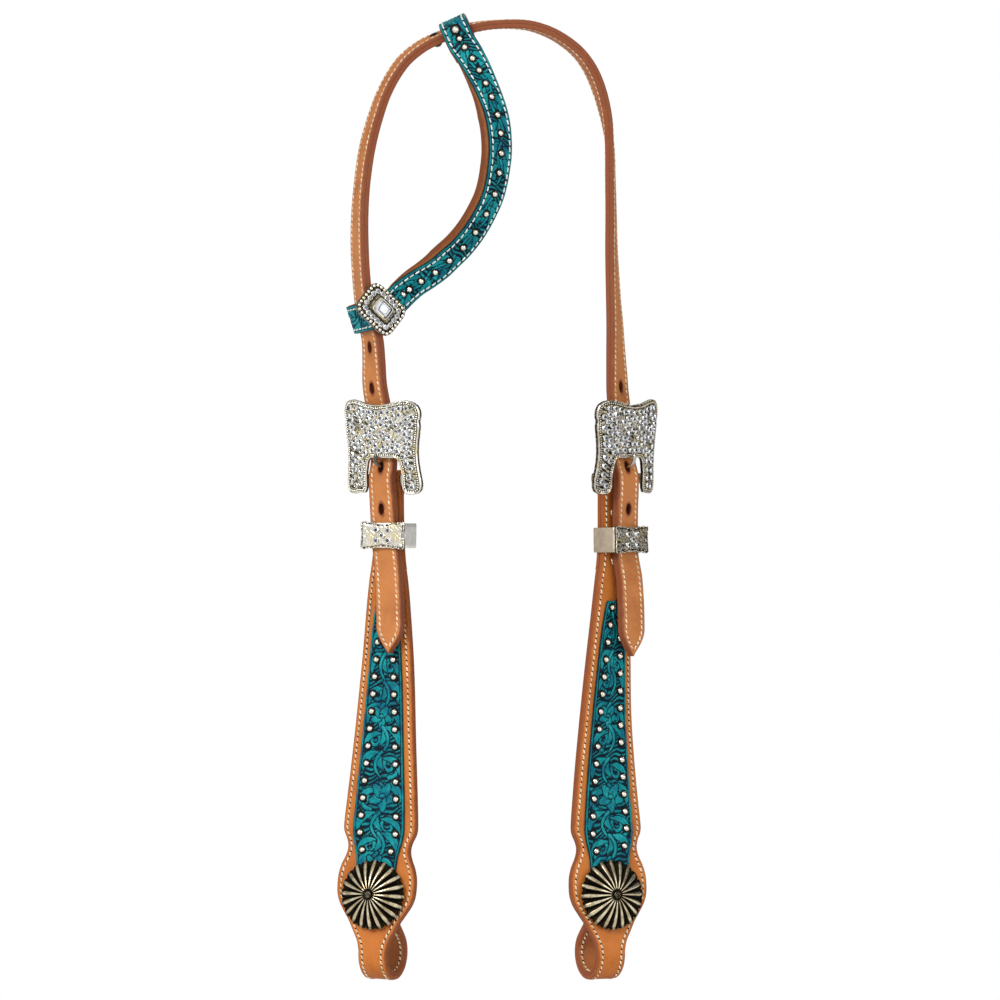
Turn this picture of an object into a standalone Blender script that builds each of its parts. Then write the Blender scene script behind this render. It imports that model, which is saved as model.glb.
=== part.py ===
# One-ear western headstall: stitched crown strap, shaped cheeks, buckles, keepers, conchos and ear strap.
# X runs across the headstall, +Z up, the outer faces look towards -Y.
# The origin is where the head carries the crown strap: the middle of its underside at the top.
import math

import bmesh
import bpy
from mathutils import Matrix, Vector

# Overall sizes
SPREAD = 0.1192
DROP = 0.2437
CHEEK_LENGTH = 0.2723

# Leather straps
STRAP_WIDTH = 0.0159
OUTER_THICKNESS = 0.0023
LINING_THICKNESS = 0.0022
LAYER_GAP = 0.00025
STRAP_BEVEL = 0.0006
STRAP_STEP = 0.0100
TIP_LENGTH = 0.0140
TIP_BLUNT = 0.0007
HOLE_WIDTH = 0.0028
HOLE_LENGTH = 0.0071
HOLE_PITCH = 0.0223
HOLE_SIDES = 8

# Cheeks
CHEEK_WIDTH = 0.0466
FRONT_THICKNESS = 0.0022
BACK_THICKNESS = 0.0018
CHEEK_STEP = 0.0110
SCALLOP_STEP = 0.0038
CHEEK_BEVEL = 0.0005
LOOP_RADIUS = 0.0120
LOOP_DROP = 0.031042
LOOP_STRAP_WIDTH = 0.0164
LOOP_TAIL = 0.0220
TURN_BACK = 0.0500
TURN_BACK_NECK = 0.0090
LINING_START = 0.0006

# Inlay and nickel spots
INLAY_WIDTH = 0.0308
INLAY_THICKNESS = 0.0013
INLAY_STEP = 0.0075
SPOT_DIAMETER = 0.0040
SPOT_HEIGHT = 0.0014
SPOT_SINK = 0.0004
SPOT_PITCH = 0.00946
SPOT_INSET = 0.0046
SPOTS_IN_COLUMN = 15
SPOT_SIDES = 6
BIG_SPOT_DIAMETER = 0.0054

# Buckles
BAR_RADIUS = 0.0020
BAR_CLEARANCE = 0.00035
PLATE_BACK = 0.0105
PLATE_THICKNESS = 0.0022
PLATE_CURVE_RADIUS = 0.0630
PLATE_RIM = 0.0017
PLATE_RECESS = 0.0004
PLATE_SLICE = 0.0048
BUCKLE_WIDTH = 0.0512
BUCKLE_SHIFTS = {"left": 0.0013, "right": 0.0038}
BUCKLE_TILT = 5.4
BUCKLE_RISE = 0.0435
BUCKLE_LEG_DROP = 0.0080
BUCKLE_GAP = 0.0245
PLATE_EDGE = 0.0120
LUG_WIDTH = 0.0036
LUG_HEIGHT = 0.0056
LUG_BURY = 0.0010

# Tongues
TONGUE_WIDTH = 0.0019
TONGUE_THICKNESS = 0.0016
TONGUE_TIP = 0.0011
EYE_CLEARANCE = 0.0003
EYE_WALL = 0.0013
SLOT_CLEARANCE = 0.0012
TONGUE_REST_GAP = 0.0004
TONGUE_OVERHANG = 0.0024

# Keepers
KEEPER_INNER_WIDTH = 0.0236
KEEPER_INNER_DEPTH = 0.0152
KEEPER_WALL = 0.0009
KEEPER_HEIGHT = 0.0135
KEEPER_PLATE_WIDTH = 0.0264
KEEPER_PLATE_HEIGHT = 0.0152
KEEPER_PLATE_THICKNESS = 0.0014
KEEPER_BURY = 0.0003
KEEPER_DROPS = {"left": 0.0313, "right": 0.0337}

# Rivets and screws
RIVET_HEAD = 0.0056
RIVET_DOME = 0.0013
RIVET_SHANK = 0.0030
FIT_GAP = 0.0003
RIVET_PLACES = (0.0190, 0.0450)
POST_DIAMETER = 0.0040
POST_HEAD = 0.0090
POST_HEAD_THICKNESS = 0.0012

# Conchos
CONCHO_DIAMETER = 0.0381
CONCHO_RISE = 0.0068
CONCHO_RIM = 0.0011
CONCHO_WALL = 0.0013
CONCHO_BOSS = 0.0052
CONCHO_BOSS_RISE = 0.0012
CONCHO_NUT = 0.0080
CONCHO_FLUTES = 20
CONCHO_FLUTE_DEPTH = 0.0008
CONCHO_NUT_ROOF = 0.0016
CONCHO_SEAT_GAP = 0.0006

# Ear strap
EAR_WIDTH = 0.0159
EAR_OVERLAY_WIDTH = 0.0153
EAR_OVERLAY_THICKNESS = 0.0013
EAR_LINING_THICKNESS = 0.0046
EAR_LINING_MARGIN = 0.0019
EAR_WRAP_LINING = 0.0012
EAR_TAIL = 0.0145
EAR_TAIL_TURN = 0.0018
EAR_UPPER_LEAD = 0.0050
EAR_LOWER_LEAD = 0.0200
EAR_STEP = 0.0085
EAR_THIN_LENGTH = 0.0160
EAR_PADDING_RUN = 0.0340
EAR_WRAP_ROWS = 8
EAR_BIG_SPOT_RISE = 0.0034
EAR_WRAP_SLACK = 0.0003
WRAP_RIVET_PLACE = 0.0115

# Ear ornament
ORNAMENT_WIDTH = 0.0260
ORNAMENT_HEIGHT = 0.0210
ORNAMENT_THICKNESS = 0.0020
ORNAMENT_RISE = 0.0018
ORNAMENT_STEP_IN = 0.0030
ORNAMENT_BEAD = 0.0014
ORNAMENT_BEADS = 24
STONE_WIDTH = 0.0080
STONE_HEIGHT = 0.0060
STONE_RISE = 0.0022
STONE_SIDES = 12
ORNAMENT_POST = 0.0032
ORNAMENT_NUT = 0.0060
ORNAMENT_PLACE = 0.0102
ORNAMENT_SHIFT = 0.0071
ORNAMENT_LIFT = 0.0020
ORNAMENT_TURN = 14
ORNAMENT_SEAT_GAP = 0.0005

# Stop rivet on the crown strap
STOP_HEAD = 0.0054
STOP_DOME = 0.0020
STOP_BACK = 0.0115

OVERRUN = 0.0100
TINY = 0.00000001
SMOOTH_ANGLE = 40

# Routes and outlines, as shares of the sizes above and in degrees of twist.
# A twist of 0 shows the outer face to the front and 90 turns it outwards.
ARCH_SHARES = (
    (-0.617, -0.792, 49), (-0.621, -0.737, 54), (-0.627, -0.692, 58), (-0.646, -0.652, 62),
    (-0.666, -0.607, 66), (-0.679, -0.547, 68), (-0.686, -0.480, 68), (-0.685, -0.413, 70),
    (-0.675, -0.344, 72), (-0.653, -0.268, 72), (-0.618, -0.201, 74), (-0.568, -0.134, 76),
    (-0.493, -0.074, 77), (-0.411, -0.039, 79), (-0.319, -0.016, 81), (-0.219, 0.000, 84),
    (-0.114, 0.010, 88), (-0.009, 0.013, 91), (0.082, 0.010, 94), (0.164, -0.002, 97),
    (0.237, -0.021, 99), (0.310, -0.050, 101), (0.365, -0.087, 103), (0.406, -0.134, 103),
    (0.438, -0.194, 98), (0.454, -0.257, 89), (0.458, -0.335, 86), (0.461, -0.413, 84),
    (0.463, -0.491, 81), (0.471, -0.592, 76), (0.478, -0.658, 71), (0.482, -0.714, 66),
    (0.487, -0.770, 60), (0.490, -0.804, 57),
)
BAR_X_SHARES = {"left": -0.546, "right": 0.454}
SPINE_SHARES = {
    "left": (
        (0.0, 0.0), (0.05, -0.002), (0.178, -0.006), (0.25, -0.007), (0.374, -0.010),
        (0.524, -0.023), (0.695, -0.041), (0.80, -0.057), (0.85, -0.065), (0.903, -0.072),
    ),
    "right": (
        (0.0, 0.0), (0.068, 0.003), (0.164, 0.006), (0.254, 0.004), (0.362, -0.007),
        (0.464, -0.018), (0.567, -0.022), (0.671, -0.020), (0.739, -0.015), (0.823, -0.009),
        (0.903, -0.001),
    ),
}
CHEEK_TWISTS = {
    "left": (
        (0.0, 37), (0.05, 36.5), (0.1, 35), (0.178, 32), (0.25, 30), (0.37, 29), (0.52, 28),
        (0.70, 26), (0.903, 26),
    ),
    "right": (
        (0.0, 50), (0.05, 50), (0.1, 50), (0.164, 49), (0.25, 45), (0.36, 43), (0.46, 42),
        (0.57, 38), (0.65, 35), (0.73, 31.5), (0.80, 29), (0.86, 28), (0.903, 28),
    ),
}
LOOP_START_SHARE = 0.903
CONCHO_PLACE_SHARE = 0.8335
CHEEK_SHARES = (
    (0.0, 0.343), (0.051, 0.355), (0.11, 0.377), (0.162, 0.416), (0.202, 0.485),
    (0.242, 0.536), (0.312, 0.605), (0.396, 0.682), (0.523, 0.785), (0.65, 0.897),
    (0.683, 0.925), (0.701, 0.930), (0.712, 0.900), (0.723, 0.835), (0.736, 0.790),
    (0.747, 0.794), (0.760, 0.841), (0.775, 0.923), (0.793, 0.983), (0.812, 1.0),
    (0.834, 0.983), (0.852, 0.910), (0.868, 0.794), (0.887, 0.644), (0.909, 0.511),
    (0.925, 0.412), (0.944, 0.354),
)
SCALLOP_START_SHARE = 0.675
INLAY_SHARES = (
    (0.2455, 0.31), (0.250, 0.385), (0.297, 0.532), (0.353, 0.623), (0.523, 0.818),
    (0.70, 1.0), (0.722, 0.955), (0.740, 0.88), (0.76, 0.80), (0.84, 0.70), (0.868, 0.45),
)
SPOT_START_SHARE = 0.2585
SPOT_STAGGER_SHARES = {"left": 0.0, "right": -0.25}
BILLET_SIDE_SHARES = {
    "left": ((0.35, 0.37), (0.28, 0.365), (0.19, 0.28), (0.118, 0.15), (0.045, 0.088), (0.0, 0.05)),
    "right": (
        (0.354, 0.45), (0.283, 0.45), (0.205, 0.38), (0.155, 0.245), (0.118, 0.233), (0.07, 0.233),
        (0.0, 0.233),
    ),
}
BILLET_STANDOFF_SHARES = {
    "left": (1.20, 1.13, 1.03, 0.99, 1.08, 1.14),
    "right": (1.42, 1.28, 1.12, 0.99, 0.99, 1.05, 1.20),
}
BILLET_TWISTS = {"left": (30, 30, 31, 34, 37, 39), "right": (41, 41, 42, 44, 45, 46, 47)}
PLATE_PASS_SHARES = ((0.14, 0.98), (0.28, 0.76), (0.43, 0.65), (0.62, 0.62), (0.84, 0.66))
HOLES_UP = {"left": 3, "right": 2}
KEEPER_TURN_BACK = {"left": 9, "right": 2}
KEEPER_CENTRE_SHARES = {"left": (0.085, 0.157), "right": (0.082, 0.195)}
EAR_SHARES = (
    (-0.176, -0.062, -0.84, 14), (-0.144, -0.092, -0.96, 23), (-0.116, -0.121, -1.08, 30),
    (-0.090, -0.151, -1.18, 34), (-0.063, -0.191, -1.28, 35), (-0.050, -0.231, -1.34, 36),
    (-0.047, -0.275, -1.37, 37), (-0.057, -0.318, -1.36, 39), (-0.077, -0.365, -1.32, 40),
    (-0.114, -0.407, -1.24, 40), (-0.160, -0.446, -1.10, 38), (-0.213, -0.480, -0.92, 36),
    (-0.272, -0.508, -0.70, 33), (-0.334, -0.535, -0.47, 29), (-0.396, -0.555, -0.28, 25),
    (-0.453, -0.573, -0.17, 21),
)
EAR_SPOT_SHARES = (
    -0.018, -0.040, -0.065, -0.092, -0.121, -0.151, -0.191, -0.231, -0.275, -0.318, -0.3645,
    -0.408, -0.448, -0.482, -0.511, -0.5375, -0.558, -0.576, -0.589,
)
EAR_TOP_SHARE = -0.242
EAR_BOTTOM_SHARE = -0.638
EAR_SKEWS = {"upper": 9, "lower": 5}
EAR_LEAD_SHARES = {
    "upper": ((0.0, 0.0), (1.0, 0.0)),
    "lower": ((0.0, 0.0), (0.25, 0.02), (0.5, 0.08), (0.75, 0.17), (1.0, 0.28)),
}
EAR_PIVOT_SHARES = (0.190, -0.600)
BUCKLE_OUTLINE_SHARES = (
    (0.0, 0.935), (0.26, 0.95), (0.50, 0.985), (0.68, 1.0), (0.84, 0.98), (0.945, 0.935),
    (0.995, 0.865), (1.0, 0.79), (0.965, 0.725), (0.98, 0.665), (0.955, 0.56), (0.93, 0.45),
    (0.915, 0.34), (0.92, 0.22), (0.945, 0.09), (0.975, -0.02), (0.98, -0.09), (0.94, -0.155),
    (0.84, -0.184), (0.70, -0.184), (0.60, -0.165),
)
KEEPER_OUTLINE_SHARES = (
    (0.0, 0.80), (0.28, 0.84), (0.46, 0.97), (0.60, 0.90), (0.80, 1.0), (0.95, 0.97), (1.0, 0.86),
    (0.985, 0.45), (0.96, 0.0),
)
TONGUE_CROSS_SHARE = 0.44
TONGUE_SHARES = ((0.37, 0.31), (0.47, 0.50), (0.56, 0.68), (0.69, 0.86), (0.85, 0.98))

LEATHER = (0.80, 0.50, 0.24)
LEATHER_BACK = (0.62, 0.33, 0.15)
CROWN_LEATHER = (0.66, 0.36, 0.17)
TURQUOISE = (0.02, 0.42, 0.46)
EAR_BROWN = (0.42, 0.20, 0.09)
SILVER = (0.72, 0.68, 0.58)
ANTIQUE = (0.46, 0.42, 0.32)
STEEL = (0.62, 0.60, 0.58)
DARK_METAL = (0.10, 0.09, 0.08)
STONE = (0.90, 0.93, 0.95)


def clear_scene():
    """Remove every object that the scene starts with."""
    for item in list(bpy.data.objects):
        bpy.data.objects.remove(item)


def make_material(name, colour, roughness, metallic):
    """A plain surface with one colour, roughness and metallic value."""
    material = bpy.data.materials.new(name)
    material.use_nodes = True
    shader = material.node_tree.nodes["Principled BSDF"]
    shader.inputs["Base Color"].default_value = (*colour, 1.0)
    shader.inputs["Roughness"].default_value = roughness
    shader.inputs["Metallic"].default_value = metallic
    return material


def object_from_bmesh(mesh_builder, name, material=None):
    """Turn a bmesh into an object with outward faces."""
    mesh_builder.normal_update()
    bmesh.ops.recalc_face_normals(mesh_builder, faces=mesh_builder.faces)
    mesh = bpy.data.meshes.new(name)
    mesh_builder.to_mesh(mesh)
    mesh_builder.free()
    thing = bpy.data.objects.new(name, mesh)
    bpy.context.collection.objects.link(thing)
    if material:
        mesh.materials.append(material)
    return thing


def make_guide(thing):
    """Hide a cutter or an operand from the finished model."""
    thing.hide_render = True
    thing.display_type = "WIRE"
    return thing


def combine(target, operand, operation):
    """Cut or join with a Boolean that stays on the object."""
    modifier = target.modifiers.new(operation.title(), "BOOLEAN")
    modifier.operation = operation
    modifier.object = make_guide(operand)
    modifier.solver = "EXACT"


def settle(thing, pivot):
    """Move an object's origin to a pivot and leave its shape where it is."""
    thing.data.transform(Matrix.Translation(-pivot) @ thing.matrix_basis)
    thing.matrix_basis = Matrix.Translation(pivot)


def lookup(table, x):
    """Read a smooth curve through (x, y) pairs, held level past its ends."""
    if x <= table[0][0]:
        return table[0][1]
    if x >= table[-1][0]:
        return table[-1][1]
    last = len(table) - 1
    at = next(i for i in range(last) if table[i][0] <= x <= table[i + 1][0])

    def slope(i):
        low = table[max(i - 1, 0)]
        high = table[min(i + 1, last)]
        return (high[1] - low[1]) / (high[0] - low[0])

    (x0, y0), (x1, y1) = table[at], table[at + 1]
    span = x1 - x0
    t = (x - x0) / span
    start = slope(at) * span
    end = slope(at + 1) * span
    rise = y1 - y0
    return y0 + t * start + t * t * (3 * rise - 2 * start - end) + t ** 3 * (start + end - 2 * rise)


def smooth_knots(knots, step):
    """Resample (point, hint) knots along a smooth curve, about one sample per step."""
    reach = [0.0]
    for (a, _), (b, _) in zip(knots, knots[1:]):
        reach.append(reach[-1] + (b - a).length)
    count = max(2, round(reach[-1] / step))
    columns = [[(s, value) for s, value in zip(reach, values)] for values in zip(*(
        (*point, *hint) for point, hint in knots))]
    samples = []
    for i in range(count + 1):
        values = [lookup(column, reach[-1] * i / count) for column in columns]
        samples.append((Vector(values[:3]), Vector(values[3:])))
    return samples


class Frame:
    """A place on a strap: its middle, the way along, the way across and the outward way."""

    def __init__(self, origin, along, outward):
        self.origin = Vector(origin)
        self.along = Vector(along).normalized()
        outward = Vector(outward)
        self.out = (outward - self.along * outward.dot(self.along)).normalized()
        self.across = self.along.cross(self.out)

    def at(self, across, along, out):
        return self.origin + self.across * across + self.along * along + self.out * out

    def matrix(self):
        """Local X across, Y along, Z out."""
        turn = Matrix((self.along.cross(self.out), self.along, self.out)).transposed().to_4x4()
        return Matrix.Translation(self.origin) @ turn

    def turned(self, degrees):
        """The same place, turned about the way along."""
        spin = Matrix.Rotation(math.radians(degrees), 3, self.along)
        return Frame(self.origin, self.along, spin @ self.out)


def frames_along(samples):
    """Frames at each (point, outward hint), with the way along read from the neighbours."""
    frames = []
    for i, (point, hint) in enumerate(samples):
        before = samples[max(i - 1, 0)][0]
        after = samples[min(i + 1, len(samples) - 1)][0]
        frames.append(Frame(point, after - before, hint))
    return frames


def outward_at(along, twist):
    """The outward way of a strap that runs in the XZ plane, from its twist in degrees."""
    plane_out = Vector((-along.z, 0.0, along.x)).normalized()
    angle = math.radians(twist)
    return Vector((0.0, -math.cos(angle), 0.0)) + plane_out * math.sin(angle)


def strap_section(half, inner, outer, low, high, middle):
    """A strap's cross-section as (across, level) points, with or without a line down its middle."""
    points = [(-half + low, inner), (-half, inner + low)] if low else [(-half, inner)]
    points += [(-half, outer - high), (-half + high, outer)] if high else [(-half, outer)]
    points += [(0.0, outer)] if middle else []
    points += [(half - high, outer), (half, outer - high)] if high else [(half, outer)]
    points += [(half, inner + low), (half - low, inner)] if low else [(half, inner)]
    points += [(0.0, inner)] if middle else []
    return points


def strap(name, rows, material, bevel_in=0.0, bevel_out=0.0, middle=False):
    """A strap lofted through rows of (frame, half width, inner level, outer level)."""
    builder = bmesh.new()
    rings = []
    sides = []
    for frame, half, inner, outer in rows:
        low = min(bevel_in, half / 2)
        high = min(bevel_out, half / 2)
        outline = strap_section(half, inner, outer, low, high, middle)
        rings.append([builder.verts.new(frame.at(u, 0.0, w)) for u, w in outline])
        sides.append([u for u, _ in outline])
    for ring, following, across in zip(rings, rings[1:], sides):
        for i in range(len(ring)):
            j = (i + 1) % len(ring)
            a, b = (i, j) if across[i] < across[j] else (j, i)
            builder.faces.new((ring[a], ring[b], following[b]))
            builder.faces.new((ring[a], following[b], following[a]))
    builder.faces.new(rings[0])
    builder.faces.new(rings[-1])
    return object_from_bmesh(builder, name, material)


def turned_body(name, rings, sides, material, frame):
    """A closed body turned about a frame's outward axis from (radius, level) rings."""
    builder = bmesh.new()
    loops = []
    for radius, level in rings:
        if radius:
            angles = [2 * math.pi * i / sides for i in range(sides)]
            loops.append([
                builder.verts.new((radius * math.cos(angle), radius * math.sin(angle), level))
                for angle in angles
            ])
        else:
            loops.append([builder.verts.new((0.0, 0.0, level))])
    for low, high in zip(loops, loops[1:]):
        if len(low) == 1 or len(high) == 1:
            tip, rim = (low[0], high) if len(low) == 1 else (high[0], low)
            for i in range(sides):
                builder.faces.new((tip, rim[i], rim[(i + 1) % sides]))
        else:
            for i in range(sides):
                j = (i + 1) % sides
                builder.faces.new((low[i], low[j], high[j], high[i]))
    for end in (loops[0], loops[-1]):
        if len(end) > 1:
            builder.faces.new(end)
    thing = object_from_bmesh(builder, name, material)
    thing.data.shade_smooth()
    thing.data.set_sharp_from_angle(angle=math.radians(SMOOTH_ANGLE))
    thing.matrix_world = frame.matrix()
    return thing


def drums(name, frames, radius_across, radius_along, low, high, sides=12):
    """Cutters: one oval cylinder through each frame."""
    builder = bmesh.new()
    for frame in frames:
        ends = []
        for level in (low, high):
            ends.append([
                builder.verts.new(frame.at(
                    radius_across * math.cos(2 * math.pi * (i + 0.5) / sides),
                    radius_along * math.sin(2 * math.pi * (i + 0.5) / sides),
                    level))
                for i in range(sides)
            ])
        for i in range(sides):
            j = (i + 1) % sides
            builder.faces.new((ends[0][i], ends[0][j], ends[1][j], ends[1][i]))
        builder.faces.new(ends[0])
        builder.faces.new(ends[1])
    return object_from_bmesh(builder, name)


def domes(name, places, sides=SPOT_SIDES):
    """Low domes for nickel spots at each (frame, across, level, diameter)."""
    builder = bmesh.new()
    for frame, across, level, diameter in places:
        rings = []
        for share, rise in ((1.0, -SPOT_SINK), (0.84, SPOT_HEIGHT / 2)):
            radius = diameter / 2 * share
            rings.append([
                builder.verts.new(frame.at(
                    across + radius * math.cos(2 * math.pi * i / sides),
                    radius * math.sin(2 * math.pi * i / sides),
                    level + rise))
                for i in range(sides)
            ])
        top = builder.verts.new(frame.at(across, 0.0, level + SPOT_HEIGHT))
        for low, high in zip(rings, rings[1:]):
            for i in range(sides):
                j = (i + 1) % sides
                builder.faces.new((low[i], low[j], high[j], high[i]))
        for i in range(sides):
            builder.faces.new((rings[-1][i], rings[-1][(i + 1) % sides], top))
        builder.faces.new(rings[0])
    return object_from_bmesh(builder, name)


def box(name, frame, low, high, material=None):
    """A box in a frame's own directions, between two corners."""
    builder = bmesh.new()
    bmesh.ops.create_cube(builder, size=1.0)
    for vertex in builder.verts:
        vertex.co = frame.at(*(
            low[i] if vertex.co[i] < 0 else high[i] for i in range(3)
        ))
    return object_from_bmesh(builder, name, material)


class Side:
    """One cheek's line: distance down from the heel bar, level out from the layer joint."""

    def __init__(self, name):
        self.name = name
        self.sign = -1 if name == "left" else 1
        self.bar_x = BAR_X_SHARES[name] * SPREAD
        self.spine = SPINE_SHARES[name]
        self.twists = CHEEK_TWISTS[name]

    def centre(self, down):
        offset = lookup(self.spine, down / CHEEK_LENGTH) * SPREAD
        return Vector((self.bar_x + offset, 0.0, -DROP - down))

    def frame(self, down):
        """The frame at a distance down. It runs straight on above the bar and past the loop's start."""
        held = min(max(down, 0.0), LOOP_START_SHARE * CHEEK_LENGTH)
        nudge = STRAP_STEP / 8
        high = max(held - nudge, 0.0)
        along = self.centre(min(high + 2 * nudge, LOOP_START_SHARE * CHEEK_LENGTH)) - self.centre(high)
        along.normalize()
        angle = math.radians(lookup(self.twists, held / CHEEK_LENGTH))
        plane_out = Vector((along.z, 0.0, -along.x)) * -self.sign
        outward = Vector((0.0, -math.cos(angle), 0.0)) + plane_out * math.sin(angle)
        frame = Frame(self.centre(held), along, outward)
        frame.across = frame.out.cross(frame.along)
        frame.origin = frame.origin + frame.along * (down - held)
        return frame

    def at(self, across, down, level):
        return self.frame(down).at(across, 0.0, level)


def cheek_half(down):
    """Half the cheek's width at a distance down from the bar."""
    share = down / CHEEK_LENGTH
    if share >= CHEEK_SHARES[-1][0]:
        return LOOP_STRAP_WIDTH / 2
    return lookup(CHEEK_SHARES, share) * CHEEK_WIDTH / 2


def inlay_half(down):
    return lookup(INLAY_SHARES, down / CHEEK_LENGTH) * INLAY_WIDTH / 2


def cheek_stops(start, end):
    """Distances down the cheek, closer together at the scallops."""
    fine = SCALLOP_START_SHARE * CHEEK_LENGTH
    stops = []
    for low, high, step in ((start, fine, CHEEK_STEP), (fine, end, SCALLOP_STEP)):
        count = max(1, round((high - low) / step))
        stops += [low + (high - low) * i / count for i in range(count)]
    return stops + [end]


FRONT_FACE = LAYER_GAP / 2 + FRONT_THICKNESS
BACK_FACE = LAYER_GAP / 2 + BACK_THICKNESS
INLAY_FACE = FRONT_FACE + FIT_GAP + INLAY_THICKNESS
TAIL_LEVEL = BACK_FACE + FIT_GAP + BACK_THICKNESS + LAYER_GAP / 2
TAIL_BACK = TAIL_LEVEL + LAYER_GAP / 2 + FRONT_THICKNESS
FOLD_RADIUS = BAR_RADIUS + BAR_CLEARANCE
BILLET_LEVEL = FOLD_RADIUS + FRONT_THICKNESS + FIT_GAP + LINING_THICKNESS + LAYER_GAP
STRAP_FACE = LAYER_GAP / 2 + OUTER_THICKNESS
STRAP_BACK = LAYER_GAP / 2 + LINING_THICKNESS


def loop_centre():
    """How far down the bit loop's centre lies: a set distance below the concho."""
    return CONCHO_PLACE_SHARE * CHEEK_LENGTH + LOOP_DROP


def loop_route():
    """(down, level) places round the bit loop: a teardrop that comes back up behind the swell."""
    centre = loop_centre()
    steps = 15
    places = []
    for i in range(steps + 1):
        angle = math.radians(228) * (i + 0.5) / (steps + 0.5)
        places.append((centre + LOOP_RADIUS * math.sin(angle), LOOP_RADIUS * (math.cos(angle) - 1)))
    end_down, end_level = places[-1]
    rise = end_level + TAIL_LEVEL
    neck = end_down + rise * 0.83
    places.append((end_down + rise * 0.42, end_level - rise * 0.48))
    places.append((neck, -TAIL_LEVEL + rise * 0.13))
    places.append((neck - LOOP_RADIUS / 3, -TAIL_LEVEL))
    tail_end = CONCHO_PLACE_SHARE * CHEEK_LENGTH - LOOP_TAIL
    last = places[-1][0]
    places += [(last + (tail_end - last) * i / 3, -TAIL_LEVEL) for i in (1, 2, 3)]
    return places


def fold_route():
    """(down, level) places from the turn-back's end up round the heel bar."""
    neck = TURN_BACK_NECK
    places = [(TURN_BACK, 0.0), ((TURN_BACK + neck) / 2, 0.0), (neck * 1.3, 0.0), (neck, 0.0)]
    places += [(neck * 0.55, -FOLD_RADIUS * 0.48), (neck * 0.2, -FOLD_RADIUS * 0.92)]
    steps = 9
    for i in range(steps + 1):
        angle = math.pi * i / steps
        places.append((-FOLD_RADIUS * math.sin(angle), -FOLD_RADIUS * math.cos(angle)))
    places += [(neck * 0.2, FOLD_RADIUS * 0.92), (neck * 0.55, FOLD_RADIUS * 0.48), (neck, 0.0)]
    return places


def route_rows(side, places, half_of, inner, outer):
    """Rows for a strap from (down, level) places, its outer side to the left of travel."""
    rows = []
    for i, (down, level) in enumerate(places):
        before = places[max(i - 1, 0)]
        after = places[min(i + 1, len(places) - 1)]
        run = Vector((after[0] - before[0], after[1] - before[1])).normalized()
        frame = side.frame(down)
        place = Frame(frame.at(0.0, 0.0, level), frame.along, frame.out)
        place.along = frame.along * run.x + frame.out * run.y
        place.out = frame.out * run.x - frame.along * run.y
        place.across = frame.across
        rows.append((place, half_of(down), inner, outer))
    return rows


def build_cheek(side, leather, lining_leather):
    """Front layer with its fold and loop, and the lining behind it."""
    loop_start = loop_centre()
    fold = fold_route()
    neck = TURN_BACK_NECK
    stops = cheek_stops(neck, loop_start)
    places = fold + [(down, 0.0) for down in stops[1:]] + loop_route()
    behind = len(fold) + len(stops) + len(loop_route()) // 2
    rows = route_rows(side, places, cheek_half, LAYER_GAP / 2, FRONT_FACE)
    rows = [
        (frame, LOOP_STRAP_WIDTH / 2 if i > behind else half, inner, outer)
        for i, (frame, half, inner, outer) in enumerate(rows)
    ]
    front = strap(f"{side.name}_cheek_front", rows, leather, bevel_out=CHEEK_BEVEL)
    start = TURN_BACK + LINING_START
    stops = cheek_stops(start, loop_start)
    places = [(down, 0.0) for down in stops] + loop_route()
    behind = len(stops) + len(loop_route()) // 2
    rows = route_rows(side, places, cheek_half, -BACK_FACE, -LAYER_GAP / 2)
    rows = [
        (frame, LOOP_STRAP_WIDTH / 2 if i > behind else half, inner, outer)
        for i, (frame, half, inner, outer) in enumerate(rows)
    ]
    lining = strap(f"{side.name}_cheek_lining", rows, lining_leather, bevel_in=CHEEK_BEVEL)
    return front, lining


def spot_places(side):
    """Frames and offsets of the nickel spots on one inlay."""
    start = SPOT_START_SHARE * CHEEK_LENGTH
    places = []
    for column in (-1, 1):
        for i in range(SPOTS_IN_COLUMN):
            shift = SPOT_STAGGER_SHARES[side.name] * SPOT_PITCH if column == 1 else 0.0
            down = start + i * SPOT_PITCH + shift
            half = max(inlay_half(down) - SPOT_INSET, SPOT_DIAMETER * 0.62)
            places.append((side.frame(down), column * half, INLAY_FACE, SPOT_DIAMETER))
    return places


def build_inlay(side, leather):
    """The tooled panel, with its spots, laid on the front layer."""
    first = INLAY_SHARES[0][0] * CHEEK_LENGTH
    last = INLAY_SHARES[-1][0] * CHEEK_LENGTH
    count = round((last - first) / INLAY_STEP)
    rows = []
    for i in range(count + 1):
        down = first + (last - first) * i / count
        rows.append((side.frame(down), inlay_half(down), FRONT_FACE + FIT_GAP, INLAY_FACE))
    inlay = strap(f"{side.name}_inlay", rows, leather)
    combine(inlay, domes(f"{side.name}_spots", spot_places(side)), "UNION")
    return inlay


def rivet_body(name, frame, low, high, head, dome, shank, material, back_dome=None):
    """A rivet: a shank with a domed head below its low level and above its high level."""
    back_dome = back_dome or dome
    rings = [
        (0.0, low - back_dome), (head * 0.36, low - back_dome * 0.7), (head / 2, low),
        (shank / 2, low), (shank / 2, high), (head / 2, high), (head * 0.36, high + dome * 0.7),
        (0.0, high + dome),
    ]
    return turned_body(name, rings, 12, material, frame)


def post(name, frame, back, front, head, head_height, shank, material):
    """A screw or rivet with its head behind a level and a plain shank up to another."""
    rings = [
        (0.0, back - head_height), (head * 0.4, back - head_height),
        (head / 2, back - head_height * 0.6), (head / 2, back),
        (shank / 2, back), (shank / 2, front), (0.0, front),
    ]
    return turned_body(name, rings, 12, material, frame)


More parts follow.
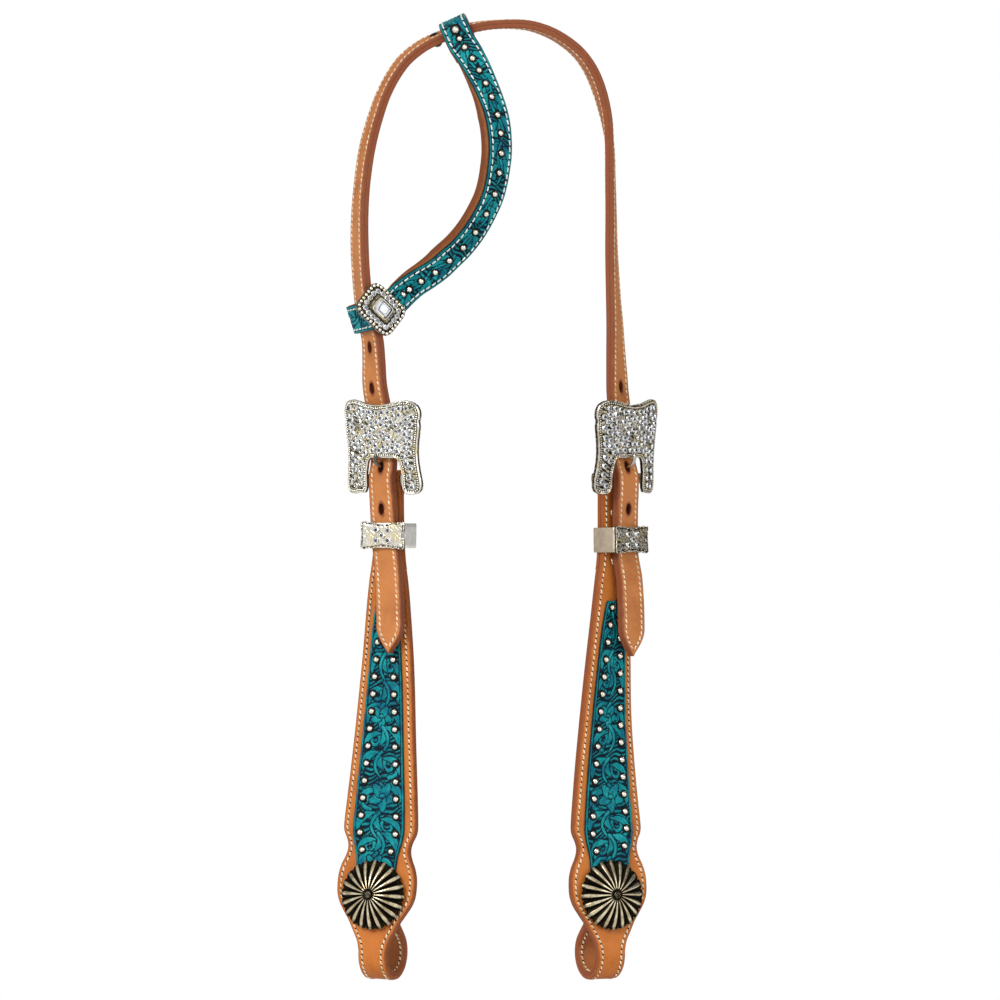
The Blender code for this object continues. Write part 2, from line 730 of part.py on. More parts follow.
def build_turn_back_rivets(side, front, metal):
    """Two rivets that close the fold under the heel bar."""
    holes = []
    for number, down in enumerate(RIVET_PLACES, 1):
        frame = side.frame(down)
        reach = FRONT_FACE + FIT_GAP
        name = f"{side.name}_turn_back_rivet_{number}"
        rivet_body(name, frame, -reach, reach, RIVET_HEAD, RIVET_DOME, RIVET_SHANK, metal)
        holes.append(frame)
    size = RIVET_SHANK / 2 + FIT_GAP
    cutter = drums(f"{side.name}_rivet_holes", holes, size, size, -OVERRUN, OVERRUN)
    combine(front, cutter, "DIFFERENCE")


def build_concho(side, layers, metal, screw_metal):
    """The fluted dome, and the screw that holds it and the bit loop's tail."""
    frame = side.frame(CONCHO_PLACE_SHARE * CHEEK_LENGTH)
    seat = INLAY_FACE + CONCHO_SEAT_GAP
    sides = CONCHO_FLUTES * 2
    radius = CONCHO_DIAMETER / 2
    inner_radius = radius - CONCHO_WALL
    profile = ((0.98, 0.0), (0.86, 0.30), (0.64, 0.62), (0.40, 0.86), (0.20, 0.97))
    builder = bmesh.new()

    def ring(size, level, flute):
        verts = []
        for i in range(sides):
            angle = 2 * math.pi * i / sides
            dip = flute if i % 2 else 0.0
            reach = size - dip * 0.7
            place = (reach * math.cos(angle), reach * math.sin(angle), level - dip)
            verts.append(builder.verts.new(place))
        return verts

    boss = CONCHO_BOSS / 2
    rings = [ring(radius - CONCHO_RIM / 2, seat, 0.0)]
    rings.append(ring(radius, seat + CONCHO_RIM * 0.6, CONCHO_FLUTE_DEPTH * 0.6))
    for share, rise in profile[1:]:
        depth = CONCHO_FLUTE_DEPTH * (0.4 + 0.6 * share)
        rings.append(ring(radius * share, seat + CONCHO_RIM + rise * (CONCHO_RISE - CONCHO_RIM), depth))
    top = seat + CONCHO_RISE
    rings.append(ring(boss, top - CONCHO_FLUTE_DEPTH / 4, 0.0))
    rings.append(ring(boss, top + CONCHO_BOSS_RISE * 0.6, 0.0))
    rings.append(ring(boss * 0.6, top + CONCHO_BOSS_RISE, 0.0))
    nut = CONCHO_NUT / 2
    bore = POST_DIAMETER / 2 + FIT_GAP
    roof = top - CONCHO_NUT_ROOF
    inner = [ring(inner_radius, seat, 0.0)]
    for share, rise in profile[2:3]:
        level = seat + rise * (CONCHO_RISE - CONCHO_RIM) - CONCHO_WALL * 0.6
        inner.append(ring(inner_radius * share, level, 0.0))
    nut_top = roof - CONCHO_WALL
    inner += [ring(nut, nut_top, 0.0), ring(nut, seat, 0.0), ring(bore, seat, 0.0), ring(bore, roof, 0.0)]
    chain = list(reversed(inner)) + rings
    for low, high in zip(chain, chain[1:]):
        for i in range(sides):
            j = (i + 1) % sides
            builder.faces.new((low[i], low[j], high[j], high[i]))
    builder.faces.new(chain[0])
    builder.faces.new(chain[-1])
    concho = object_from_bmesh(builder, f"{side.name}_concho", metal)
    concho.matrix_world = frame.matrix()
    back = TAIL_BACK + FIT_GAP
    name = f"{side.name}_concho_screw"
    height = POST_HEAD_THICKNESS
    post(name, frame, -back, roof - FIT_GAP, POST_HEAD, height, POST_DIAMETER, screw_metal)
    size = POST_DIAMETER / 2 + FIT_GAP
    for layer in layers:
        cutter = drums(f"{layer.name}_post_hole", [frame], size, size, -OVERRUN, OVERRUN)
        combine(layer, cutter, "DIFFERENCE")


def buckle_frame_place(side):
    """The buckle's own frame at the heel bar: along points up, and the plate's top tilts out."""
    frame = side.frame(0.0)
    tilt = math.radians(BUCKLE_TILT)
    up = frame.out * math.sin(tilt) - frame.along * math.cos(tilt)
    return Frame(frame.origin, up, frame.out)


def build_buckle(side, metal):
    """Curved plate with two legs, lugs behind them and the heel bar."""
    place = buckle_frame_place(side)
    place.origin = place.at(BUCKLE_SHIFTS[side.name], 0.0, 0.0)
    gap = BUCKLE_GAP / 2
    corner = BUCKLE_GAP / 16
    right = [(x * BUCKLE_WIDTH / 2, y * BUCKLE_RISE) for x, y in BUCKLE_OUTLINE_SHARES]
    right += [(gap + corner, -BUCKLE_LEG_DROP * 0.92), (gap, -BUCKLE_LEG_DROP * 0.55)]
    right += [(gap, PLATE_EDGE * 0.3), (gap - corner, PLATE_EDGE * 0.85)]
    right += [(gap - 2 * corner, PLATE_EDGE), (gap / 3, PLATE_EDGE)]
    outline = right + [(-x, y) for x, y in reversed(right) if x]
    builder = bmesh.new()
    base = [builder.verts.new((x, y, 0.0)) for x, y in outline]
    face = builder.faces.new(base)
    raised = bmesh.ops.extrude_face_region(builder, geom=[face])
    top = [item for item in raised["geom"] if isinstance(item, bmesh.types.BMVert)]
    bmesh.ops.translate(builder, verts=top, vec=(0.0, 0.0, PLATE_THICKNESS))
    bmesh.ops.recalc_face_normals(builder, faces=builder.faces)
    front = [item for item in builder.faces if item.normal.z > 0.9]
    bmesh.ops.inset_region(builder, faces=front, thickness=PLATE_RIM, depth=0.0)
    front = [item for item in builder.faces if item.normal.z > 0.9 and len(item.verts) > 8]
    sunk = list({vertex for item in front for vertex in item.verts})
    bmesh.ops.translate(builder, verts=sunk, vec=(0.0, 0.0, -PLATE_RECESS))
    slices = int(BUCKLE_WIDTH / PLATE_SLICE)
    for i in range(1, slices):
        x = BUCKLE_WIDTH * (i / slices - 0.5)
        geometry = builder.verts[:] + builder.edges[:] + builder.faces[:]
        bmesh.ops.bisect_plane(
            builder, geom=geometry, plane_co=(x, 0.0, 0.0), plane_no=(1.0, 0.0, 0.0), dist=TINY)
    bmesh.ops.triangulate(builder, faces=builder.faces)
    for vertex in builder.verts:
        fall = PLATE_CURVE_RADIUS - math.sqrt(PLATE_CURVE_RADIUS ** 2 - vertex.co.x ** 2)
        vertex.co.z += PLATE_BACK - fall
    plate = object_from_bmesh(builder, f"{side.name}_buckle_frame", metal)
    plate.matrix_world = place.matrix()
    lug_middle = BUCKLE_GAP / 2 + LUG_WIDTH / 2 + corner / 2
    fall = PLATE_CURVE_RADIUS - math.sqrt(PLATE_CURVE_RADIUS ** 2 - lug_middle ** 2)
    for name, sign in (("left", -1), ("right", 1)):
        low = (sign * lug_middle - LUG_WIDTH / 2, -LUG_HEIGHT / 2, -BAR_RADIUS * 1.3)
        high = (sign * lug_middle + LUG_WIDTH / 2, LUG_HEIGHT / 2, PLATE_BACK - fall + LUG_BURY)
        combine(plate, box(f"{side.name}_{name}_lug", place, low, high), "UNION")
    bar_frame = Frame(place.origin, place.along, place.across)
    rings = [(0.0, -lug_middle), (BAR_RADIUS, -lug_middle), (BAR_RADIUS, lug_middle), (0.0, lug_middle)]
    combine(plate, turned_body(f"{side.name}_heel_bar", rings, 16, None, bar_frame), "UNION")
    return plate


def tongue_offset(side):
    """The tongue stands in the middle of the billet, which may lie a little to one side."""
    return BILLET_SIDE_SHARES[side.name][-1][1] * STRAP_WIDTH


def build_tongue(side, metal):
    """An eye round the heel bar and a prong through the billet's hole to the plate's edge."""
    place = buckle_frame_place(side)
    place = Frame(place.at(tongue_offset(side), 0.0, 0.0), place.along, place.out)
    eye_inner = BAR_RADIUS + EYE_CLEARANCE
    eye_outer = eye_inner + EYE_WALL
    half = TONGUE_WIDTH / 2
    rest = PLATE_BACK + PLATE_THICKNESS + TONGUE_REST_GAP
    builder = bmesh.new()
    sides = 20
    rings = []
    for i in range(sides):
        angle = 2 * math.pi * i / sides
        corner = []
        for radius, across in ((eye_inner, -half), (eye_outer, -half), (eye_outer, half), (eye_inner, half)):
            point = place.at(across, radius * math.sin(angle), radius * math.cos(angle))
            corner.append(builder.verts.new(point))
        rings.append(corner)
    for i in range(sides):
        low, high = rings[i], rings[(i + 1) % sides]
        for k in range(4):
            m = (k + 1) % 4
            builder.faces.new((low[k], low[m], high[m], high[k]))
    tongue = object_from_bmesh(builder, f"{side.name}_tongue", metal)
    middle = rest + TONGUE_THICKNESS / 2
    length = PLATE_EDGE + TONGUE_OVERHANG
    places = [(0.707 * (eye_inner + eye_outer) / 2, 0.707 * (eye_inner + eye_outer) / 2)]
    places += [(up * PLATE_EDGE, out * middle) for up, out in TONGUE_SHARES]
    places += [(length, middle)]
    rows = []
    for i, (up, out) in enumerate(places):
        before = places[max(i - 1, 0)]
        after = places[min(i + 1, len(places) - 1)]
        run = place.along * (after[0] - before[0]) + place.out * (after[1] - before[1])
        lift = place.out * (after[0] - before[0]) - place.along * (after[1] - before[1])
        thick = TONGUE_TIP if i == len(places) - 1 else TONGUE_THICKNESS
        low = -TONGUE_THICKNESS / 2
        rows.append((Frame(place.at(0.0, up, out), run, lift), half, low, low + thick))
    prong = strap(f"{side.name}_prong", rows, None, bevel_out=TONGUE_WIDTH / 5)
    combine(tongue, prong, "UNION")
    settle(tongue, place.origin)
    return tongue


def keeper_frame(side):
    """The keeper's frame, turned a little to the front, at its own middle."""
    frame = side.frame(KEEPER_DROPS[side.name])
    turned = Frame(frame.origin, -frame.along, frame.out)
    turned = turned.turned(-side.sign * KEEPER_TURN_BACK[side.name])
    across, out = (share * KEEPER_INNER_WIDTH for share in KEEPER_CENTRE_SHARES[side.name])
    return Frame(turned.at(across, 0.0, out), turned.along, turned.out)


def build_keeper(side, metal):
    """A bent band with a cast plate soldered to its front."""
    place = keeper_frame(side)
    inner_x = KEEPER_INNER_WIDTH / 2
    inner_z = KEEPER_INNER_DEPTH / 2
    outer_x = inner_x + KEEPER_WALL
    outer_z = inner_z + KEEPER_WALL
    half = KEEPER_HEIGHT / 2
    low = (-outer_x, -half, -outer_z)
    keeper = box(f"{side.name}_keeper", place, low, (outer_x, half, outer_z), metal)
    low = (-inner_x, -OVERRUN, -inner_z)
    hollow = box(f"{side.name}_keeper_hollow", place, low, (inner_x, OVERRUN, inner_z))
    bevel = keeper.modifiers.new("Bevel", "BEVEL")
    bevel.width = KEEPER_WALL / 2
    bevel.segments = 1
    combine(keeper, hollow, "DIFFERENCE")
    quarter = [(x * KEEPER_PLATE_WIDTH / 2, y * KEEPER_PLATE_HEIGHT / 2) for x, y in KEEPER_OUTLINE_SHARES]
    right = quarter + [(x, -y) for x, y in reversed(quarter[:-1])]
    outline = right + [(-x, y) for x, y in reversed(right[1:-1])]
    builder = bmesh.new()
    base = outer_z - KEEPER_BURY
    face = builder.faces.new([builder.verts.new(place.at(x, y, base)) for x, y in outline])
    raised = bmesh.ops.extrude_face_region(builder, geom=[face])
    top = [item for item in raised["geom"] if isinstance(item, bmesh.types.BMVert)]
    bmesh.ops.translate(builder, verts=top, vec=place.out * (KEEPER_PLATE_THICKNESS + KEEPER_BURY))
    combine(keeper, object_from_bmesh(builder, f"{side.name}_keeper_plate"), "UNION")
    settle(keeper, place.origin)
    return keeper


def billet_knots(side):
    """Points and outward hints of the crown strap from the billet's tip up past the buckle."""
    knots = []
    name = side.name
    stations = zip(BILLET_SIDE_SHARES[name], BILLET_STANDOFF_SHARES[name], BILLET_TWISTS[name])
    for (down_share, across_share), standoff, twist in stations:
        down = down_share * CHEEK_LENGTH
        point = side.at(across_share * STRAP_WIDTH, down, standoff * BILLET_LEVEL)
        knots.append((point, twist))
    across = BILLET_SIDE_SHARES[side.name][-1][1]
    arch_end = ARCH_SHARES[0] if side.name == "left" else ARCH_SHARES[-1]
    goal = Vector((arch_end[0] * SPREAD, 0.0, arch_end[1] * DROP))
    first_twist = BILLET_TWISTS[side.name][-1]
    frame = side.frame(0.0)
    reach = goal - frame.origin
    goal_across = reach.dot(frame.across)
    goal_up = -reach.dot(frame.along)
    level_up = PLATE_PASS_SHARES[0][0] * BUCKLE_RISE
    for up_share, standoff in PLATE_PASS_SHARES:
        up = up_share * BUCKLE_RISE
        share = (up - level_up) / (goal_up - level_up)
        drift = across * STRAP_WIDTH * (1 - share) + goal_across * share
        point = frame.at(drift, -up, standoff * BILLET_LEVEL)
        knots.append((point, first_twist + (arch_end[2] - first_twist) * share))
    return knots


def crown_frames():
    """Frames of the crown strap from the left billet's tip over the head to the right one's."""
    points = billet_knots(Side("left"))
    points += [(Vector((x * SPREAD, 0.0, z * DROP)), twist) for x, z, twist in ARCH_SHARES]
    points += list(reversed(billet_knots(Side("right"))))
    knots = []
    for i, (point, twist) in enumerate(points):
        before = points[max(i - 1, 0)][0]
        after = points[min(i + 1, len(points) - 1)][0]
        knots.append((point, outward_at(after - before, twist)))
    return frames_along(smooth_knots(knots, STRAP_STEP))


def frame_near(frames, height, side_sign):
    """The frame on one side of the crown strap at a height, between its neighbours."""
    for low, high in zip(frames, frames[1:]):
        on_side = low.origin.x * side_sign > 0
        crosses = (low.origin.z - height) * (high.origin.z - height) <= 0
        if on_side and crosses:
            share = (height - low.origin.z) / (high.origin.z - low.origin.z)
            origin = low.origin.lerp(high.origin, share)
            return Frame(origin, high.origin - low.origin, low.out.lerp(high.out, share))
    raise ValueError("no frame at that height")


def frame_along(frames, start_height, side_sign, distance):
    """The frame at a distance along the strap from where it passes a height, upwards positive."""
    start = frame_near(frames, start_height, side_sign)
    order = frames if side_sign * distance < 0 else list(reversed(frames))
    ahead = [f for f in order if (f.origin.z - start.origin.z) * distance > 0 and f.origin.x * side_sign > 0]
    left = abs(distance)
    previous = start
    for frame in ahead:
        run = (frame.origin - previous.origin).length
        if run >= left:
            share = left / run
            origin = previous.origin.lerp(frame.origin, share)
            return Frame(origin, frame.origin - previous.origin, previous.out.lerp(frame.out, share))
        left -= run
        previous = frame
    raise ValueError("the strap ends before that distance")


def tongue_hole_height(side):
    """Height where the tongue's middle line crosses the billet's middle."""
    return side.frame(0.0).at(0.0, -TONGUE_CROSS_SHARE * PLATE_EDGE, 0.0).z


def strap_holes(frames):
    """Frames of the punched holes, spaced from the hole that holds the tongue."""
    holes = []
    for name in ("left", "right"):
        side = Side(name)
        height = tongue_hole_height(side)
        holes.append(frame_near(frames, height, side.sign))
        holes.append(frame_along(frames, height, side.sign, -HOLE_PITCH))
        for i in range(1, HOLES_UP[name] + 1):
            holes.append(frame_along(frames, height, side.sign, i * HOLE_PITCH))
    return holes


def build_crown(outer_leather, lining_leather):
    """Both layers of the crown strap, with pointed billets and punched holes."""
    frames = crown_frames()
    reach = [0.0]
    for low, high in zip(frames, frames[1:]):
        reach.append(reach[-1] + (high.origin - low.origin).length)
    rows = []
    for extra in (0.0, 0.25, 0.5, 0.75):
        rows.append((extra * TIP_LENGTH, None))
    tip = TIP_LENGTH * 0.9
    rows += [(s, frame) for s, frame in zip(reach, frames) if tip < s < reach[-1] - tip]
    for extra in (0.75, 0.5, 0.25, 0.0):
        rows.append((reach[-1] - extra * TIP_LENGTH, None))
    stations = []
    for s, frame in rows:
        if frame is None:
            at = max(i for i in range(len(reach)) if reach[i] <= s + TINY)
            at = min(at, len(frames) - 2)
            low, high = frames[at], frames[at + 1]
            share = (s - reach[at]) / (reach[at + 1] - reach[at])
            origin = low.origin.lerp(high.origin, share)
            frame = Frame(origin, high.origin - low.origin, low.out.lerp(high.out, share))
        end = min(s, reach[-1] - s) / TIP_LENGTH
        half = STRAP_WIDTH / 2
        if end < 1:
            half = max(half * (1 - (1 - end) ** 1.6), TIP_BLUNT)
        stations.append((frame, half))
    rows = [(frame, half, LAYER_GAP / 2, STRAP_FACE) for frame, half in stations]
    outer = strap("crown_strap_outer", rows, outer_leather, bevel_out=STRAP_BEVEL)
    rows = [(frame, half, -STRAP_BACK, -LAYER_GAP / 2) for frame, half in stations]
    lining = strap("crown_strap_lining", rows, lining_leather, bevel_in=STRAP_BEVEL)
    holes = strap_holes(frames)
    for layer in (outer, lining):
        name = f"{layer.name}_holes"
        reach = OVERRUN / 2
        cutter = drums(name, holes, HOLE_WIDTH / 2, HOLE_LENGTH / 2, -reach, reach, HOLE_SIDES)
        combine(layer, cutter, "DIFFERENCE")
    return frames, outer, lining


def build_stop_rivet(frames, layers, metal):
    """A rivet through the crown strap that stops the ear strap from slipping down."""
    place = crown_place_at(frames, EAR_TOP_SHARE * SPREAD - STOP_BACK)
    low = -STRAP_BACK - FIT_GAP
    high = STRAP_FACE + FIT_GAP
    cap = STOP_DOME / 3
    rivet_body("ear_stop_rivet", place, low, high, STOP_HEAD, cap, RIVET_SHANK, metal, STOP_DOME)
    size = RIVET_SHANK / 2 + FIT_GAP
    for layer in layers:
        cutter = drums(f"{layer.name}_stop_hole", [place], size, size, -OVERRUN, OVERRUN)
        combine(layer, cutter, "DIFFERENCE")


def crown_place_at(frames, x):
    """The crown strap's frame where its upper half passes an X place."""
    for low, high in zip(frames, frames[1:]):
        if low.origin.z > -DROP / 4 and low.origin.x <= x <= high.origin.x:
            share = (x - low.origin.x) / (high.origin.x - low.origin.x)
            origin = low.origin.lerp(high.origin, share)
            return Frame(origin, high.origin - low.origin, low.out.lerp(high.out, share))
    raise ValueError("the crown strap doesn't pass that place")


def wrap_frame(place, skew):
    """A wrap's frame: across towards the front, out off the crown strap, turned a little askew."""
    front = place.across if place.across.y < 0 else -place.across
    angle = math.radians(skew)
    frame = Frame(place.origin, place.along * math.cos(angle) + place.out * math.sin(angle), place.out)
    frame.out = place.out * math.cos(angle) - place.along * math.sin(angle)
    frame.across = front
    return frame


def wrap_standoff(skew):
    """How far the layer joint stays off the crown strap, so that an askew wrap clears it."""
    askew = EAR_WIDTH / 2 * math.tan(math.radians(skew))
    return EAR_WRAP_SLACK + FIT_GAP + askew + EAR_WRAP_LINING


def wrap_knots(frame, skew, lead, lead_shares):
    """Knots from the lead in front of the crown strap, over it, down its back and in under it."""
    off = wrap_standoff(skew)
    edge = STRAP_WIDTH / 2
    knots = []

    def add(across, out, shift, hint_across, hint_out):
        hint = frame.across * hint_across + frame.out * hint_out
        knots.append((frame.at(across, shift, out), hint))

    for reach, shift in reversed(lead_shares):
        add(edge + off, -reach * lead, shift * lead, 1.0, 0.0)
    corners = ((edge, STRAP_FACE, 0), (-edge, STRAP_FACE, 90), (-edge, -STRAP_FACE, 180))
    for corner_across, corner_out, start in corners:
        for turn in (0, 30, 60, 90):
            angle = math.radians(start + turn)
            way = (math.cos(angle), math.sin(angle))
            add(corner_across + off * way[0], corner_out + off * way[1], 0.0, *way)
    tail = edge + off - 2 * EAR_WRAP_LINING - FIT_GAP - EAR_TAIL_TURN
    under = -STRAP_FACE - off - EAR_TAIL_TURN
    for turn in (0, 30, 60, 90):
        angle = math.radians(turn)
        across = tail + EAR_TAIL_TURN * math.sin(angle)
        add(across, under + EAR_TAIL_TURN * math.cos(angle), 0.0, -math.sin(angle), -math.cos(angle))
    return knots


def tail_knots(frames, start, step):
    """Knots of a tail that lies behind the front ply, from its root to its end."""
    root = STRAP_FACE + wrap_standoff(EAR_SKEWS["upper"]) + EAR_TAIL_TURN
    depth = 2 * EAR_WRAP_LINING + FIT_GAP
    knots = []
    for share in (0.3, 0.65, 1.0):
        place = frame_at_distance(frames, start, root + share * (EAR_TAIL - root), step)
        knots.append((place.at(0.0, 0.0, -depth), -place.out))
    return knots


def frame_at_distance(frames, start, distance, step=1):
    """The frame at a distance along a list of frames from one of them, forwards or backwards."""
    left = distance
    at = start
    while True:
        low, high = frames[at], frames[at + step]
        run = (high.origin - low.origin).length
        if run >= left:
            share = left / run
            along = (high.origin - low.origin) * step
            return Frame(low.origin.lerp(high.origin, share), along, low.out.lerp(high.out, share))
        left -= run
        at += step


def ear_frames(frames):
    """Frames of the ear strap's layer joint, and where its front ply crosses the crown strap."""
    top = wrap_frame(crown_place_at(frames, EAR_TOP_SHARE * SPREAD), EAR_SKEWS["upper"])
    bottom = wrap_frame(frame_near(frames, EAR_BOTTOM_SHARE * DROP, -1), EAR_SKEWS["lower"])
    upper = wrap_knots(top, EAR_SKEWS["upper"], EAR_UPPER_LEAD, EAR_LEAD_SHARES["upper"])
    lower = wrap_knots(bottom, EAR_SKEWS["lower"], EAR_LOWER_LEAD, EAR_LEAD_SHARES["lower"])
    points = [(Vector((x * SPREAD, y * STRAP_WIDTH, z * DROP)), twist) for x, z, y, twist in EAR_SHARES]
    arc = []
    for i, (point, twist) in enumerate(points):
        before = points[max(i - 1, 0)][0]
        after = points[min(i + 1, len(points) - 1)][0]
        arc.append((point, outward_at(after - before, twist)))
    middle = smooth_knots([upper[0]] + arc + [lower[0]], EAR_STEP)
    samples = list(reversed(upper[1:])) + middle + lower[1:]
    first = len(upper) - len(EAR_LEAD_SHARES["upper"])
    last = len(samples) - len(lower) + len(EAR_LEAD_SHARES["lower"]) - 1
    places = frames_along(samples)
    head = list(reversed(tail_knots(places, first, 1)))
    samples = head + samples + tail_knots(places, last, -1)
    return frames_along(samples), first + len(head), last + len(head)


def padding(frames, first, last):
    """How much of the lining's padding stands at each frame: none in the wraps, all in the arc."""
    reach = [0.0]
    for low, high in zip(frames, frames[1:]):
        reach.append(reach[-1] + (high.origin - low.origin).length)
    shares = []
    for s in reach:
        inside = min(s - reach[first], reach[last] - s) - EAR_THIN_LENGTH
        shares.append(min(max(inside / EAR_PADDING_RUN, 0.0), 1.0))
    return shares


def build_ear(crown, turquoise, brown, metal, dark, stone):
    """Overlay, lining, ornament, stone, screw and wrap rivet, all on one moving body."""
    frames, first, last = ear_frames(crown)
    half = EAR_OVERLAY_WIDTH / 2
    level = LAYER_GAP / 2 + EAR_OVERLAY_THICKNESS
    faced = frames[first - EAR_WRAP_ROWS:last + EAR_WRAP_ROWS + 1]
    rows = [(frame, half, LAYER_GAP / 2, level) for frame in faced]
    overlay = strap("ear_strap_overlay", rows, turquoise, bevel_out=STRAP_BEVEL / 2, middle=True)
    rows = []
    for frame, share in zip(frames, padding(frames, first, last)):
        margin = share * EAR_LINING_MARGIN
        depth = EAR_WRAP_LINING + share * (EAR_LINING_THICKNESS - EAR_WRAP_LINING)
        place = Frame(frame.at(margin / 2, 0.0, 0.0), frame.along, frame.out)
        rows.append((place, (EAR_WIDTH + margin) / 2, -depth, -LAYER_GAP / 2))
    lining = strap("ear_strap_lining", rows, brown, bevel_in=STRAP_BEVEL, middle=True)
    seat = frame_at_distance(frames, first, EAR_BIG_SPOT_RISE, -1)
    places = [(seat, 0.0, level, BIG_SPOT_DIAMETER)]
    for share in EAR_SPOT_SHARES:
        place = frame_near(frames[first - 1:last + 1], share * DROP, -1)
        places.append((place, 0.0, level, SPOT_DIAMETER))
    combine(overlay, domes("ear_spots", places), "UNION")
    back = 2 * EAR_WRAP_LINING + 3 * FIT_GAP
    seat = frame_at_distance(frames, last, ORNAMENT_PLACE, -1)
    parts = [overlay, lining]
    parts += build_ornament(seat, level, back, metal, stone, (overlay, lining))
    seat = frame_at_distance(frames, first, WRAP_RIVET_PLACE)
    front = -LAYER_GAP / 2 - FIT_GAP
    parts.append(post("ear_wrap_rivet", seat, -back, front, RIVET_HEAD, RIVET_DOME, RIVET_SHANK, dark))
    size = RIVET_SHANK / 2 + FIT_GAP
    cutter = drums("ear_wrap_rivet_hole", [seat], size, size, -OVERRUN, 0.0)
    combine(lining, cutter, "DIFFERENCE")
    pivot = Vector((EAR_PIVOT_SHARES[0] * SPREAD, 0.0, EAR_PIVOT_SHARES[1] * DROP))
    for part in parts:
        settle(part, pivot)


def build_ornament(place, level, back, metal, stone, layers):
    """A stepped plate with a beaded rim, its centre stone and the screw behind it."""
    seat = level + ORNAMENT_SEAT_GAP
    builder = bmesh.new()
    loops = []
    levels = (
        (0.0, seat), (0.0, seat + ORNAMENT_THICKNESS * 0.75),
        (ORNAMENT_BEAD, seat + ORNAMENT_THICKNESS),
        (ORNAMENT_STEP_IN, seat + ORNAMENT_THICKNESS * 0.8),
        (ORNAMENT_STEP_IN * 1.6, seat + ORNAMENT_THICKNESS + ORNAMENT_RISE),
    )
    for inset, out in levels:
        loop = []
        for i in range(ORNAMENT_BEADS * 2):
            angle = 2 * math.pi * i / (ORNAMENT_BEADS * 2)
            square = (abs(math.cos(angle)) ** 5 + abs(math.sin(angle)) ** 5) ** (-1 / 5)
            dent = ORNAMENT_BEAD / 3 if i % 2 and inset < ORNAMENT_BEAD else 0.0
            x = (ORNAMENT_WIDTH / 2 - inset - dent) * square * math.cos(angle)
            y = (ORNAMENT_HEIGHT / 2 - inset - dent) * square * math.sin(angle)
            loop.append(builder.verts.new((x, y, out)))
        loops.append(loop)
    for low, high in zip(loops, loops[1:]):
        for i in range(len(low)):
            j = (i + 1) % len(low)
            builder.faces.new((low[i], low[j], high[j], high[i]))
    builder.faces.new(loops[0])
    builder.faces.new(loops[-1])
    ornament = object_from_bmesh(builder, "ear_ornament", metal)
    spin = Matrix.Rotation(math.radians(ORNAMENT_TURN), 3, place.out)
    plate = Frame(place.at(ORNAMENT_LIFT, ORNAMENT_SHIFT, 0.0), spin @ place.along, place.out)
    ornament.matrix_world = plate.matrix()
    base = seat + ORNAMENT_THICKNESS + ORNAMENT_RISE + FIT_GAP
    builder = bmesh.new()
    loops = []
    angles = [2 * math.pi * (i + 0.5) / STONE_SIDES for i in range(STONE_SIDES)]
    for size, out in ((1.0, base), (1.0, base + STONE_RISE * 0.35), (0.6, base + STONE_RISE)):
        width = STONE_WIDTH / 2 * size
        height = STONE_HEIGHT / 2 * size
        loops.append([
            builder.verts.new((width * math.cos(angle), height * math.sin(angle), out))
            for angle in angles
        ])
    for low, high in zip(loops, loops[1:]):
        for i in range(STONE_SIDES):
            j = (i + 1) % STONE_SIDES
            builder.faces.new((low[i], low[j], high[j], high[i]))
    builder.faces.new(loops[0])
    builder.faces.new(loops[-1])
    gem = object_from_bmesh(builder, "ear_ornament_stone", stone)
    gem.matrix_world = plate.matrix()
    height = POST_HEAD_THICKNESS
    name = "ear_ornament_screw"
    screw = post(name, place, -back, seat - FIT_GAP, ORNAMENT_NUT, height, ORNAMENT_POST, metal)
    size = ORNAMENT_POST / 2 + FIT_GAP
    for layer in layers:
        cutter = drums(f"{layer.name}_screw_hole", [place], size, size, -OVERRUN, OVERRUN)
        combine(layer, cutter, "DIFFERENCE")
    return [ornament, gem, screw]


def cut_tongue_slot(side, front):
    """The slot in the fold that lets the tongue's eye turn on the bar."""
    place = buckle_frame_place(side)
    place = Frame(place.at(tongue_offset(side), 0.0, 0.0), place.along, place.out)
    half = TONGUE_WIDTH / 2 + SLOT_CLEARANCE
    reach = FOLD_RADIUS + FRONT_THICKNESS + SLOT_CLEARANCE
    low = (-half, -reach, -reach)
    combine(front, box(f"{side.name}_tongue_slot", place, low, (half, reach, reach)), "DIFFERENCE")


def main():
    """Build the headstall."""
    clear_scene()
    tan = make_material("tan_leather", LEATHER, 0.5, 0.0)
    tan_back = make_material("tan_leather_back", LEATHER_BACK, 0.6, 0.0)
    crown_tan = make_material("crown_leather", CROWN_LEATHER, 0.45, 0.0)
    turquoise = make_material("turquoise_leather", TURQUOISE, 0.45, 0.0)
    brown = make_material("ear_lining_leather", EAR_BROWN, 0.5, 0.0)
    silver = make_material("antique_silver", SILVER, 0.3, 1.0)
    antique = make_material("antique_nickel", ANTIQUE, 0.35, 1.0)
    steel = make_material("bright_steel", STEEL, 0.3, 1.0)
    dark = make_material("dark_steel", DARK_METAL, 0.35, 1.0)
    stone = make_material("clear_stone", STONE, 0.05, 0.0)
    frames, outer, lining = build_crown(crown_tan, tan_back)
    build_stop_rivet(frames, (outer, lining), dark)
    for name in ("left", "right"):
        side = Side(name)
        front, back = build_cheek(side, tan, tan_back)
        inlay = build_inlay(side, turquoise)
        cut_tongue_slot(side, front)
        build_turn_back_rivets(side, front, antique)
        build_concho(side, (inlay, front, back), antique, steel)
        build_buckle(side, silver)
        build_tongue(side, steel)
        build_keeper(side, silver)
    build_ear(frames, turquoise, brown, silver, dark, stone)


main()
